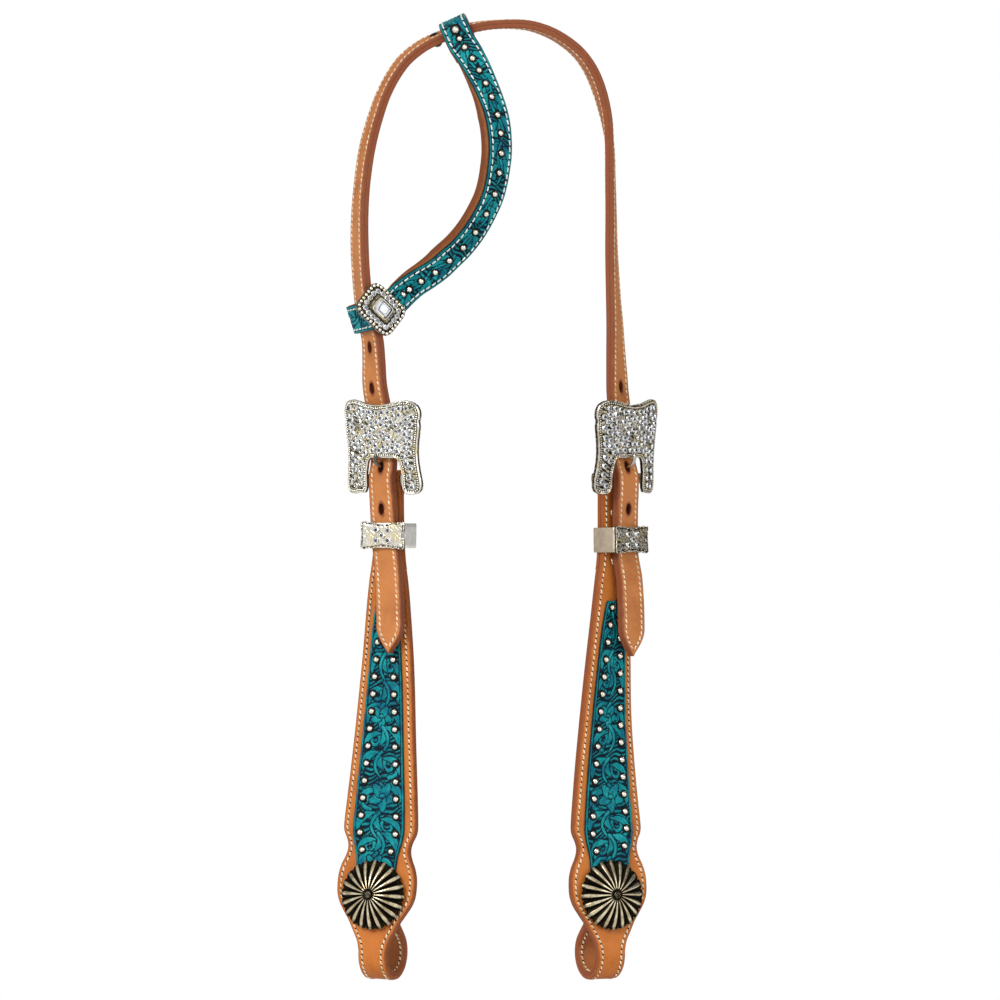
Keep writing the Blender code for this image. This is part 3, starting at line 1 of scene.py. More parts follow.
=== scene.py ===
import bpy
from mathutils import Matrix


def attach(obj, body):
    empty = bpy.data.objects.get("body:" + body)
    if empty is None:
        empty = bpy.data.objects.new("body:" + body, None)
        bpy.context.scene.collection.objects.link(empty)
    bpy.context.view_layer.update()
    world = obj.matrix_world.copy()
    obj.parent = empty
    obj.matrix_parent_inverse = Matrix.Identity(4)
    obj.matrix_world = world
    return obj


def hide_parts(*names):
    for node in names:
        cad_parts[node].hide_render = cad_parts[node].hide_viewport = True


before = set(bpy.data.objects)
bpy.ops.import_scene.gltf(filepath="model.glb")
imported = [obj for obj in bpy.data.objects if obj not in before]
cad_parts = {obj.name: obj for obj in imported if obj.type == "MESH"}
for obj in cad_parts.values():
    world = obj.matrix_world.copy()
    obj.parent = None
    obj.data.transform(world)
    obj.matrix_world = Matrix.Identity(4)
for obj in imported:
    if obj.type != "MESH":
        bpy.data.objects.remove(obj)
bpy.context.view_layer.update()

import math

import bmesh
import bpy
import numpy as np
from mathutils import Matrix, Vector
from mathutils.geometry import delaunay_2d_cdt

MM = 0.001

# Overall sizes
SPREAD = 0.1192
DROP = 0.2437
CHEEK_LENGTH = 0.2723

# Leather
STRAP_WIDTH = 0.0159
OUTER_THICKNESS = 0.0023
LINING_THICKNESS = 0.0022
LAYER_GAP = 0.00025
TIP_LENGTH = 0.0140
HOLE_WIDTH = 0.0037
HOLE_LENGTH = 0.0064
HOLE_PITCH = 0.0223
CHEEK_WIDTH = 0.0466
FRONT_THICKNESS = 0.0022
BACK_THICKNESS = 0.0018
LOOP_RADIUS = 0.0120
LOOP_STRAP_WIDTH = 0.0164
LOOP_TAIL = 0.0220
LOOP_DROP = 0.031042
TURN_BACK = 0.0500
TURN_BACK_NECK = 0.0090
INLAY_WIDTH = 0.0308
INLAY_THICKNESS = 0.0013
SPOT_DIAMETER = 0.0049
SPOT_PITCH = 0.00946
SPOT_INSET = 0.0046
SPOTS_IN_COLUMN = 15
SPOT_NEAREST_MIDDLE = 0.00248
BIG_SPOT_DIAMETER = 0.0062

# Stitching and edges
SEW_PITCH = 0.0030
EAR_SEW_PITCH = 0.0037
ROW_INSET = 0.0025
EAR_ROW_INSET = 0.0020
CROWN_SEAM_SINK = 0.00026
FACE_ROUND = 0.0008
BACK_ROUND = 0.0007
JOINT_ROUND = 0.0002
FAR_FROM_EDGE = 0.005
SIDE_WALL = -0.0002

# Buckles, tongues and keepers
BAR_RADIUS = 0.0020
BAR_CLEARANCE = 0.00035
PLATE_BACK = 0.0105
PLATE_THICKNESS = 0.0022
PLATE_CURVE_RADIUS = 0.0630
BUCKLE_WIDTH = 0.0512
BUCKLE_SHIFTS = {"left": 0.0013, "right": 0.0038}
CUT_SHIFTS = {"left": (0.0036, 0.0022), "right": (-0.0018, -0.0014)}
BUCKLE_TILT = 5.4
BUCKLE_RISE = 0.0435
BUCKLE_LEG_DROP = 0.0080
BUCKLE_GAP = 0.0245
PLATE_EDGE = 0.0120
LUG_WIDTH = 0.0036
LUG_HEIGHT = 0.0056
TONGUE_WIDTH = 0.0019
TONGUE_THICKNESS = 0.0016
TONGUE_REST_GAP = 0.0004
TONGUE_OVERHANG = 0.0024
SLOT_CLEARANCE = 0.0012
EYE_CLEARANCE = 0.0003
EYE_WALL = 0.0013
KEEPER_INNER_WIDTH = 0.0236
KEEPER_INNER_DEPTH = 0.0152
KEEPER_WALL = 0.0009
KEEPER_HEIGHT = 0.0135
KEEPER_PLATE_WIDTH = 0.0264
KEEPER_PLATE_HEIGHT = 0.0152
KEEPER_PLATE_THICKNESS = 0.0014
SOLDER_DEPTH = 0.0002
KEEPER_BEND = 0.0016
KEEPER_STONE = 0.0033
BUCKLE_STONE = 0.0031
BUCKLE_BEAD = 0.00118
BUCKLE_BEAD_PITCH = 0.00125
KEEPER_DROPS = {"left": 0.0313, "right": 0.0337}

# Rivets, screws and conchos
RIVET_HEAD = 0.0056
RIVET_DOME = 0.0013
RIVET_SHANK = 0.0030
FIT_GAP = 0.0003
RIVET_PLACES = (0.0190, 0.0450)
POST_DIAMETER = 0.0040
POST_HEAD = 0.0090
POST_HEAD_THICKNESS = 0.0012
CONCHO_DIAMETER = 0.0381
CONCHO_RISE = 0.0068
CONCHO_SEAT_GAP = 0.0006
CONCHO_FLUTES = 20

# Ear strap and its ornament
EAR_WIDTH = 0.0159
EAR_OVERLAY_WIDTH = 0.0153
EAR_OVERLAY_THICKNESS = 0.0013
EAR_LINING_THICKNESS = 0.0046
EAR_LINING_MARGIN = 0.0019
EAR_WRAP_LINING = 0.0012
EAR_TAIL = 0.0145
EAR_TAIL_TURN = 0.0018
EAR_UPPER_LEAD = 0.0050
EAR_LOWER_LEAD = 0.0200
EAR_STEP = 0.0085
EAR_THIN_LENGTH = 0.0160
EAR_PADDING_RUN = 0.0340
EAR_WRAP_ROWS = 8
EAR_BIG_SPOT_RISE = 0.0034
EAR_WRAP_SLACK = 0.0003
WRAP_RIVET_PLACE = 0.0115
ORNAMENT_WIDTH = 0.0260
ORNAMENT_HEIGHT = 0.0210
ORNAMENT_THICKNESS = 0.0020
ORNAMENT_PLACE = 0.0102
ORNAMENT_SHIFT = 0.0071
ORNAMENT_LIFT = 0.0020
ORNAMENT_TURN = 14
ORNAMENT_SEAT_GAP = 0.0005
ORNAMENT_POST = 0.0032
ORNAMENT_NUT = 0.0060
STOP_HEAD = 0.0054
STOP_DOME = 0.0020
STOP_BACK = 0.0115

# Routes and outlines, as shares of the sizes above and in degrees of twist
ARCH_SHARES = (
    (-0.617, -0.792, 49), (-0.621, -0.737, 54), (-0.627, -0.692, 58), (-0.646, -0.652, 62),
    (-0.666, -0.607, 66), (-0.679, -0.547, 68), (-0.686, -0.480, 68), (-0.685, -0.413, 70),
    (-0.675, -0.344, 72), (-0.653, -0.268, 72), (-0.618, -0.201, 74), (-0.568, -0.134, 76),
    (-0.493, -0.074, 77), (-0.411, -0.039, 79), (-0.319, -0.016, 81), (-0.219, 0.000, 84),
    (-0.114, 0.010, 88), (-0.009, 0.013, 91), (0.082, 0.010, 94), (0.164, -0.002, 97),
    (0.237, -0.021, 99), (0.310, -0.050, 101), (0.365, -0.087, 103), (0.406, -0.134, 103),
    (0.438, -0.194, 98), (0.454, -0.257, 89), (0.458, -0.335, 86), (0.461, -0.413, 84),
    (0.463, -0.491, 81), (0.471, -0.592, 76), (0.478, -0.658, 71), (0.482, -0.714, 66),
    (0.487, -0.770, 60), (0.490, -0.804, 57),
)
BAR_X_SHARES = {"left": -0.546, "right": 0.454}
SPINE_SHARES = {
    "left": (
        (0.0, 0.0), (0.05, -0.002), (0.178, -0.006), (0.25, -0.007), (0.374, -0.010),
        (0.524, -0.023), (0.695, -0.041), (0.80, -0.057), (0.85, -0.065), (0.903, -0.072),
    ),
    "right": (
        (0.0, 0.0), (0.068, 0.003), (0.164, 0.006), (0.254, 0.004), (0.362, -0.007),
        (0.464, -0.018), (0.567, -0.022), (0.671, -0.020), (0.739, -0.015), (0.823, -0.009),
        (0.903, -0.001),
    ),
}
CHEEK_TWISTS = {
    "left": (
        (0.0, 37), (0.05, 36.5), (0.1, 35), (0.178, 32), (0.25, 30), (0.37, 29), (0.52, 28),
        (0.70, 26), (0.903, 26),
    ),
    "right": (
        (0.0, 50), (0.05, 50), (0.1, 50), (0.164, 49), (0.25, 45), (0.36, 43), (0.46, 42),
        (0.57, 38), (0.65, 35), (0.73, 31.5), (0.80, 29), (0.86, 28), (0.903, 28),
    ),
}
LOOP_START_SHARE = 0.903
LOOP_CENTRE_SHARE = 0.9475
CONCHO_PLACE_SHARE = 0.8335
CHEEK_SHARES = (
    (0.0, 0.343), (0.051, 0.355), (0.11, 0.377), (0.162, 0.416), (0.202, 0.485),
    (0.242, 0.536), (0.312, 0.605), (0.396, 0.682), (0.523, 0.785), (0.65, 0.897),
    (0.683, 0.925), (0.701, 0.930), (0.712, 0.900), (0.723, 0.835), (0.736, 0.790),
    (0.747, 0.794), (0.760, 0.841), (0.775, 0.923), (0.793, 0.983), (0.812, 1.0),
    (0.834, 0.983), (0.852, 0.910), (0.868, 0.794), (0.887, 0.644), (0.909, 0.511),
    (0.925, 0.412), (0.944, 0.354),
)
INLAY_SHARES = (
    (0.2455, 0.31), (0.250, 0.385), (0.297, 0.532), (0.353, 0.623), (0.523, 0.818),
    (0.70, 1.0), (0.722, 0.955), (0.740, 0.88), (0.76, 0.80), (0.84, 0.70), (0.868, 0.45),
)
SPOT_START_SHARE = 0.2585
SPOT_STAGGER_SHARES = {"left": 0.0, "right": -0.25}
BILLET_SIDE_SHARES = {
    "left": ((0.35, 0.37), (0.28, 0.365), (0.19, 0.28), (0.118, 0.15), (0.045, 0.088), (0.0, 0.05)),
    "right": (
        (0.354, 0.45), (0.283, 0.45), (0.205, 0.38), (0.155, 0.245), (0.118, 0.233), (0.07, 0.233),
        (0.0, 0.233),
    ),
}
BILLET_STANDOFF_SHARES = {
    "left": (1.20, 1.13, 1.03, 0.99, 1.08, 1.14),
    "right": (1.42, 1.28, 1.12, 0.99, 0.99, 1.05, 1.20),
}
BILLET_TWISTS = {"left": (30, 30, 31, 34, 37, 39), "right": (41, 41, 42, 44, 45, 46, 47)}
PLATE_PASS_SHARES = ((0.14, 0.98), (0.28, 0.76), (0.43, 0.65), (0.62, 0.62), (0.84, 0.66))
HOLES_UP = {"left": 3, "right": 2}
KEEPER_TURN_BACK = {"left": 9, "right": 2}
KEEPER_CENTRE_SHARES = {"left": (0.085, 0.157), "right": (0.082, 0.195)}
EAR_SHARES = (
    (-0.176, -0.062, -0.84, 14), (-0.144, -0.092, -0.96, 23), (-0.116, -0.121, -1.08, 30),
    (-0.090, -0.151, -1.18, 34), (-0.063, -0.191, -1.28, 35), (-0.050, -0.231, -1.34, 36),
    (-0.047, -0.275, -1.37, 37), (-0.057, -0.318, -1.36, 39), (-0.077, -0.365, -1.32, 40),
    (-0.114, -0.407, -1.24, 40), (-0.160, -0.446, -1.10, 38), (-0.213, -0.480, -0.92, 36),
    (-0.272, -0.508, -0.70, 33), (-0.334, -0.535, -0.47, 29), (-0.396, -0.555, -0.28, 25),
    (-0.453, -0.573, -0.17, 21),
)
EAR_SPOT_SHARES = (
    -0.018, -0.040, -0.065, -0.092, -0.121, -0.151, -0.191, -0.231, -0.275, -0.318, -0.3645,
    -0.408, -0.448, -0.482, -0.511, -0.5375, -0.558, -0.576, -0.589,
)
EAR_TOP_SHARE = -0.242
EAR_BOTTOM_SHARE = -0.638
EAR_SKEWS = {"upper": 9, "lower": 5}
EAR_LEAD_SHARES = {
    "upper": ((0.0, 0.0), (1.0, 0.0)),
    "lower": ((0.0, 0.0), (0.25, 0.02), (0.5, 0.08), (0.75, 0.17), (1.0, 0.28)),
}
BUCKLE_OUTLINE_SHARES = (
    (0.0, 0.935), (0.26, 0.95), (0.50, 0.985), (0.68, 1.0), (0.84, 0.98), (0.945, 0.935),
    (0.995, 0.865), (1.0, 0.79), (0.965, 0.725), (0.98, 0.665), (0.955, 0.56), (0.93, 0.45),
    (0.915, 0.34), (0.92, 0.22), (0.945, 0.09), (0.975, -0.02), (0.98, -0.09), (0.94, -0.155),
    (0.84, -0.184), (0.70, -0.184), (0.60, -0.165),
)
KEEPER_OUTLINE_SHARES = (
    (0.0, 0.80), (0.28, 0.84), (0.46, 0.97), (0.60, 0.90), (0.80, 1.0), (0.95, 0.97), (1.0, 0.86),
    (0.985, 0.45), (0.96, 0.0),
)
TONGUE_SHARES = ((0.37, 0.31), (0.47, 0.50), (0.56, 0.68), (0.69, 0.86), (0.85, 0.98))
TONGUE_CROSS_SHARE = 0.44

FRONT_FACE = LAYER_GAP / 2 + FRONT_THICKNESS
BACK_FACE = LAYER_GAP / 2 + BACK_THICKNESS
INLAY_BACK = FRONT_FACE + FIT_GAP
INLAY_FACE = INLAY_BACK + INLAY_THICKNESS
TAIL_LEVEL = BACK_FACE + FIT_GAP + BACK_THICKNESS + LAYER_GAP / 2
TAIL_BACK = TAIL_LEVEL + LAYER_GAP / 2 + FRONT_THICKNESS
FOLD_RADIUS = BAR_RADIUS + BAR_CLEARANCE
BILLET_LEVEL = FOLD_RADIUS + FRONT_THICKNESS + FIT_GAP + LINING_THICKNESS + LAYER_GAP
STRAP_FACE = LAYER_GAP / 2 + OUTER_THICKNESS
STRAP_BACK = LAYER_GAP / 2 + LINING_THICKNESS
EAR_WRAP_BACK = 2 * EAR_WRAP_LINING + 3 * FIT_GAP
LAYER_JOINT = LAYER_GAP / 2 - 0.00002


def lookup(table, x):
    """Read a smooth curve through (x, y) pairs, held level past its ends."""
    if x <= table[0][0]:
        return table[0][1]
    if x >= table[-1][0]:
        return table[-1][1]
    last = len(table) - 1
    at = next(i for i in range(last) if table[i][0] <= x <= table[i + 1][0])

    def slope(i):
        low = table[max(i - 1, 0)]
        high = table[min(i + 1, last)]
        return (high[1] - low[1]) / (high[0] - low[0])

    (x0, y0), (x1, y1) = table[at], table[at + 1]
    span = x1 - x0
    t = (x - x0) / span
    start = slope(at) * span
    end = slope(at + 1) * span
    rise = y1 - y0
    return y0 + t * start + t * t * (3 * rise - 2 * start - end) + t ** 3 * (start + end - 2 * rise)


def smooth_knots(knots, step):
    """Resample (point, hint) knots along a smooth curve, about one sample per step."""
    reach = [0.0]
    for (a, _), (b, _) in zip(knots, knots[1:]):
        reach.append(reach[-1] + (Vector(b) - Vector(a)).length)
    count = max(2, round(reach[-1] / step))
    columns = [list(zip(reach, values)) for values in zip(*((*point, *hint) for point, hint in knots))]
    samples = []
    for i in range(count + 1):
        values = [lookup(column, reach[-1] * i / count) for column in columns]
        samples.append((Vector(values[:3]), Vector(values[3:])))
    return samples


class Frame:
    """A place on a strap: its middle, the way along, the way across and the outward way."""

    def __init__(self, origin, along, outward):
        self.origin = Vector(origin)
        self.along = Vector(along).normalized()
        outward = Vector(outward)
        self.out = (outward - self.along * outward.dot(self.along)).normalized()
        self.across = self.along.cross(self.out)

    def at(self, across, along, out):
        return self.origin + self.across * across + self.along * along + self.out * out

    def turned(self, degrees):
        """The same place, turned about the way along."""
        spin = Matrix.Rotation(math.radians(degrees), 3, self.along)
        return Frame(self.origin, self.along, spin @ self.out)


def between(low, high, share):
    """A frame part of the way from one to the next."""
    origin = low.origin.lerp(high.origin, share)
    return Frame(origin, high.origin - low.origin, low.out.lerp(high.out, share))


def neighbours(items, i):
    """The items before and after one, or that one itself at an end."""
    return items[max(i - 1, 0)], items[min(i + 1, len(items) - 1)]


def frames_along(samples):
    """Frames at each (point, outward hint), with the way along read from the neighbours."""
    frames = []
    for i, (point, hint) in enumerate(samples):
        before, after = neighbours(samples, i)
        frames.append(Frame(point, after[0] - before[0], hint))
    return frames


def distances(frames):
    """How far along the strap each frame lies."""
    reach = [0.0]
    for low, high in zip(frames, frames[1:]):
        reach.append(reach[-1] + (high.origin - low.origin).length)
    return reach


def outward_at(along, twist):
    """The outward way of a strap that runs in the XZ plane, from its twist in degrees."""
    plane_out = Vector((-along.z, 0.0, along.x)).normalized()
    angle = math.radians(twist)
    return Vector((0.0, -math.cos(angle), 0.0)) + plane_out * math.sin(angle)


def hinted(points):
    """(point, twist) places as (point, outward hint) knots."""
    knots = []
    for i, (point, twist) in enumerate(points):
        before, after = neighbours(points, i)
        knots.append((point, outward_at(after[0] - before[0], twist)))
    return knots


class Side:
    """One cheek's line: distance down from the heel bar, level out from the layer joint."""

    def __init__(self, name):
        self.name = name
        self.sign = -1 if name == "left" else 1
        self.bar_x = BAR_X_SHARES[name] * SPREAD
        self.spine = SPINE_SHARES[name]
        self.twists = CHEEK_TWISTS[name]

    def pick(self, left, right):
        """What holds for this side."""
        return left if self.name == "left" else right

    def centre(self, down):
        offset = lookup(self.spine, down / CHEEK_LENGTH) * SPREAD
        return Vector((self.bar_x + offset, 0.0, -DROP - down))

    def frame(self, down):
        """The frame at a distance down. It runs straight on above the bar and past the loop's start."""
        held = min(max(down, 0.0), LOOP_START_SHARE * CHEEK_LENGTH)
        high = max(held - 1.25 * MM, 0.0)
        low = min(high + 2.5 * MM, LOOP_START_SHARE * CHEEK_LENGTH)
        along = (self.centre(low) - self.centre(high)).normalized()
        angle = math.radians(lookup(self.twists, held / CHEEK_LENGTH))
        plane_out = Vector((along.z, 0.0, -along.x)) * -self.sign
        outward = Vector((0.0, -math.cos(angle), 0.0)) + plane_out * math.sin(angle)
        place = Frame(self.centre(held), along, outward)
        place.across = place.out.cross(place.along)
        place.origin = place.origin + place.along * (down - held)
        return place

    def at(self, across, down, level):
        return self.frame(down).at(across, 0.0, level)


def cheek_half(down):
    """Half the cheek's width at a distance down from the bar."""
    share = down / CHEEK_LENGTH
    if share >= CHEEK_SHARES[-1][0]:
        return LOOP_STRAP_WIDTH / 2
    return lookup(CHEEK_SHARES, share) * CHEEK_WIDTH / 2


def inlay_half(down):
    return lookup(INLAY_SHARES, down / CHEEK_LENGTH) * INLAY_WIDTH / 2


def loop_route():
    """(down, level) places round the bit loop: a teardrop that comes back up behind the swell."""
    centre = LOOP_CENTRE_SHARE * CHEEK_LENGTH
    steps = 15
    places = []
    for i in range(steps + 1):
        angle = math.radians(228) * (i + 0.5) / (steps + 0.5)
        places.append((centre + LOOP_RADIUS * math.sin(angle), LOOP_RADIUS * (math.cos(angle) - 1)))
    end_down, end_level = places[-1]
    rise = end_level + TAIL_LEVEL
    neck = end_down + rise * 0.83
    places.append((end_down + rise * 0.42, end_level - rise * 0.48))
    places.append((neck, -TAIL_LEVEL + rise * 0.13))
    places.append((neck - LOOP_RADIUS / 3, -TAIL_LEVEL))
    tail_end = CONCHO_PLACE_SHARE * CHEEK_LENGTH - LOOP_TAIL
    last = places[-1][0]
    places += [(last + (tail_end - last) * i / 3, -TAIL_LEVEL) for i in (1, 2, 3)]
    return places


def fold_route():
    """(down, level) places from the turn-back's end up round the heel bar."""
    neck = TURN_BACK_NECK
    places = [(TURN_BACK, 0.0), ((TURN_BACK + neck) / 2, 0.0), (neck * 1.3, 0.0), (neck, 0.0)]
    places += [(neck * 0.55, -FOLD_RADIUS * 0.48), (neck * 0.2, -FOLD_RADIUS * 0.92)]
    steps = 9
    for i in range(steps + 1):
        angle = math.pi * i / steps
        places.append((-FOLD_RADIUS * math.sin(angle), -FOLD_RADIUS * math.cos(angle)))
    places += [(neck * 0.2, FOLD_RADIUS * 0.92), (neck * 0.55, FOLD_RADIUS * 0.48), (neck, 0.0)]
    return places


def fine_route(places, step):
    """The same (down, level) route on a smooth curve with close samples."""
    knots = [((down, level, 0.0), (0.0, 0.0, 0.0)) for down, level in places]
    return [(point.x, point.y) for point, _ in smooth_knots(knots, step)]


def route_frames(side, places):
    """Frames along (down, level) places, with the side they pass, outer side to the left of travel."""
    frames = []
    for i, (down, level) in enumerate(places):
        before, after = neighbours(places, i)
        run = Vector((after[0] - before[0], after[1] - before[1])).normalized()
        base = side.frame(down)
        place = Frame(base.at(0.0, 0.0, level), base.along, base.out)
        place.along = base.along * run.x + base.out * run.y
        place.out = base.out * run.x - base.along * run.y
        place.across = base.across
        frames.append(place)
    return frames


def buckle_place(side):
    """The buckle's own frame at the heel bar: along points up, and the plate's top tilts out."""
    base = side.frame(0.0)
    tilt = math.radians(BUCKLE_TILT)
    up = base.out * math.sin(tilt) - base.along * math.cos(tilt)
    return Frame(base.origin, up, base.out)


def keeper_place(side):
    """The keeper's frame, turned a little to the front, at its own middle."""
    base = side.frame(KEEPER_DROPS[side.name])
    turned = Frame(base.origin, -base.along, base.out)
    turned = turned.turned(-side.sign * KEEPER_TURN_BACK[side.name])
    across, out = (share * KEEPER_INNER_WIDTH for share in KEEPER_CENTRE_SHARES[side.name])
    return Frame(turned.at(across, 0.0, out), turned.along, turned.out)


def tongue_place(side):
    """The buckle's frame, moved along the heel bar to where the tongue sits."""
    place = buckle_place(side)
    offset = BILLET_SIDE_SHARES[side.name][-1][1] * STRAP_WIDTH
    return Frame(place.at(offset, 0.0, 0.0), place.along, place.out)


def billet_knots(side):
    """Points and outward hints of the crown strap from the billet's tip up past the buckle."""
    knots = []
    name = side.name
    stations = zip(BILLET_SIDE_SHARES[name], BILLET_STANDOFF_SHARES[name], BILLET_TWISTS[name])
    for (down_share, across_share), standoff, twist in stations:
        down = down_share * CHEEK_LENGTH
        knots.append((side.at(across_share * STRAP_WIDTH, down, standoff * BILLET_LEVEL), twist))
    across = BILLET_SIDE_SHARES[name][-1][1]
    arch_end = ARCH_SHARES[0] if name == "left" else ARCH_SHARES[-1]
    goal = Vector((arch_end[0] * SPREAD, 0.0, arch_end[1] * DROP))
    first_twist = BILLET_TWISTS[name][-1]
    base = side.frame(0.0)
    reach = goal - base.origin
    goal_across = reach.dot(base.across)
    goal_up = -reach.dot(base.along)
    level_up = PLATE_PASS_SHARES[0][0] * BUCKLE_RISE
    for up_share, standoff in PLATE_PASS_SHARES:
        up = up_share * BUCKLE_RISE
        share = (up - level_up) / (goal_up - level_up)
        drift = across * STRAP_WIDTH * (1 - share) + goal_across * share
        twist = first_twist + (arch_end[2] - first_twist) * share
        knots.append((base.at(drift, -up, standoff * BILLET_LEVEL), twist))
    return knots


def crown_frames(step):
    """Frames of the crown strap from the left billet's tip over the head to the right one's."""
    points = billet_knots(Side("left"))
    points += [(Vector((x * SPREAD, 0.0, z * DROP)), twist) for x, z, twist in ARCH_SHARES]
    points += reversed(billet_knots(Side("right")))
    return frames_along(smooth_knots(hinted(points), step))


def frame_near(frames, height, side_sign):
    """The frame on one side of the crown strap at a height, between its neighbours."""
    for low, high in zip(frames, frames[1:]):
        on_side = low.origin.x * side_sign > 0
        if on_side and (low.origin.z - height) * (high.origin.z - height) <= 0:
            return between(low, high, (height - low.origin.z) / (high.origin.z - low.origin.z))
    raise ValueError("no frame at that height")


def frame_along(frames, start_height, side_sign, distance):
    """The frame at a distance along the strap from where it passes a height, upwards positive."""
    start = frame_near(frames, start_height, side_sign)
    order = frames if side_sign * distance < 0 else list(reversed(frames))
    ahead = [f for f in order if (f.origin.z - start.origin.z) * distance > 0 and f.origin.x * side_sign > 0]
    left = abs(distance)
    previous = start
    for place in ahead:
        run = (place.origin - previous.origin).length
        if run >= left:
            return between(previous, place, left / run)
        left -= run
        previous = place
    raise ValueError("the strap ends before that distance")


def strap_holes(frames):
    """Frames of the punched holes, spaced from the hole that holds the tongue."""
    holes = []
    for name in ("left", "right"):
        side = Side(name)
        height = side.frame(0.0).at(0.0, -TONGUE_CROSS_SHARE * PLATE_EDGE, 0.0).z
        holes.append(frame_near(frames, height, side.sign))
        holes.append(frame_along(frames, height, side.sign, -HOLE_PITCH))
        for i in range(1, HOLES_UP[name] + 1):
            holes.append(frame_along(frames, height, side.sign, i * HOLE_PITCH))
    return holes


def crown_place_at(frames, x):
    """The crown strap's frame where its upper half passes an X place."""
    for low, high in zip(frames, frames[1:]):
        if low.origin.z > -DROP / 4 and low.origin.x <= x <= high.origin.x:
            return between(low, high, (x - low.origin.x) / (high.origin.x - low.origin.x))
    raise ValueError("the crown strap doesn't pass that place")


def wrap_frame(place, skew):
    """A wrap's frame: across towards the front, out off the crown strap, turned a little askew."""
    front = place.across if place.across.y < 0 else -place.across
    angle = math.radians(skew)
    wrap = Frame(place.origin, place.along * math.cos(angle) + place.out * math.sin(angle), place.out)
    wrap.out = place.out * math.cos(angle) - place.along * math.sin(angle)
    wrap.across = front
    return wrap


def wrap_standoff(skew):
    askew = EAR_WIDTH / 2 * math.tan(math.radians(skew))
    return EAR_WRAP_SLACK + FIT_GAP + askew + EAR_WRAP_LINING


def wrap_knots(place, skew, lead, lead_shares):
    """Knots from the lead in front of the crown strap, over it, down its back and in under it."""
    off = wrap_standoff(skew)
    edge = STRAP_WIDTH / 2
    knots = []

    def add(across, out, shift, hint_across, hint_out):
        knots.append((place.at(across, shift, out), place.across * hint_across + place.out * hint_out))

    for reach, shift in reversed(lead_shares):
        add(edge + off, -reach * lead, shift * lead, 1.0, 0.0)
    corners = ((edge, STRAP_FACE, 0), (-edge, STRAP_FACE, 90), (-edge, -STRAP_FACE, 180))
    for corner_across, corner_out, start in corners:
        for turn in (0, 30, 60, 90):
            angle = math.radians(start + turn)
            way = (math.cos(angle), math.sin(angle))
            add(corner_across + off * way[0], corner_out + off * way[1], 0.0, *way)
    tail = edge + off - 2 * EAR_WRAP_LINING - FIT_GAP - EAR_TAIL_TURN
    under = -STRAP_FACE - off - EAR_TAIL_TURN
    for turn in (0, 30, 60, 90):
        angle = math.radians(turn)
        across = tail + EAR_TAIL_TURN * math.sin(angle)
        add(across, under + EAR_TAIL_TURN * math.cos(angle), 0.0, -math.sin(angle), -math.cos(angle))
    return knots


def frame_at_distance(frames, start, distance, step=1):
    """The frame at a distance along a list of frames from one of them, forwards or backwards."""
    left = distance
    at = start
    while True:
        low, high = frames[at], frames[at + step]
        run = (high.origin - low.origin).length
        if run >= left:
            share = left / run
            along = (high.origin - low.origin) * step
            return Frame(low.origin.lerp(high.origin, share), along, low.out.lerp(high.out, share))
        left -= run
        at += step


def tail_knots(frames, start, step):
    """Knots of a tail that lies behind the front ply, from its root to its end."""
    root = STRAP_FACE + wrap_standoff(EAR_SKEWS["upper"]) + EAR_TAIL_TURN
    depth = 2 * EAR_WRAP_LINING + FIT_GAP
    knots = []
    for share in (0.3, 0.65, 1.0):
        place = frame_at_distance(frames, start, root + share * (EAR_TAIL - root), step)
        knots.append((place.at(0.0, 0.0, -depth), -place.out))
    return knots


def ear_samples(frames):
    """The ear strap's layer joint as knots, and where its front ply crosses the crown strap."""
    top = wrap_frame(crown_place_at(frames, EAR_TOP_SHARE * SPREAD), EAR_SKEWS["upper"])
    bottom = wrap_frame(frame_near(frames, EAR_BOTTOM_SHARE * DROP, -1), EAR_SKEWS["lower"])
    upper = wrap_knots(top, EAR_SKEWS["upper"], EAR_UPPER_LEAD, EAR_LEAD_SHARES["upper"])
    lower = wrap_knots(bottom, EAR_SKEWS["lower"], EAR_LOWER_LEAD, EAR_LEAD_SHARES["lower"])
    points = [(Vector((x * SPREAD, y * STRAP_WIDTH, z * DROP)), twist) for x, z, y, twist in EAR_SHARES]
    middle = smooth_knots([upper[0]] + hinted(points) + [lower[0]], EAR_STEP)
    samples = list(reversed(upper[1:])) + middle + lower[1:]
    first = len(upper) - len(EAR_LEAD_SHARES["upper"])
    last = len(samples) - len(lower) + len(EAR_LEAD_SHARES["lower"]) - 1
    places = frames_along(samples)
    head = list(reversed(tail_knots(places, first, 1)))
    samples = head + samples + tail_knots(places, last, -1)
    return samples, first + len(head), last + len(head)


# Making meshes

def add_layer(mesh, name, values, domain="POINT"):
    """A named attribute with one number or one vector for each point or face."""
    values = np.array(values, dtype=np.float32)
    kind, key = ("FLOAT", "value") if values.ndim == 1 else ("FLOAT_VECTOR", "vector")
    mesh.attributes.new(name, kind, domain).data.foreach_set(key, values.ravel())


def linked(name, data):
    """An object that is part of the scene."""
    thing = bpy.data.objects.new(name, data)
    bpy.context.collection.objects.link(thing)
    return thing


def face_outwards(mesh, weld=0.0):
    """Turn every face outwards, after merging points that lie closer than the weld."""
    builder = bmesh.new()
    builder.from_mesh(mesh)
    if weld:
        bmesh.ops.remove_doubles(builder, verts=builder.verts, dist=weld)
    bmesh.ops.recalc_face_normals(builder, faces=builder.faces)
    builder.to_mesh(mesh)
    builder.free()


def shade(mesh, crease):
    """Smooth shading with sharp edges where faces meet at more than the crease in degrees."""
    mesh.shade_smooth()
    mesh.set_sharp_from_angle(angle=math.radians(crease))


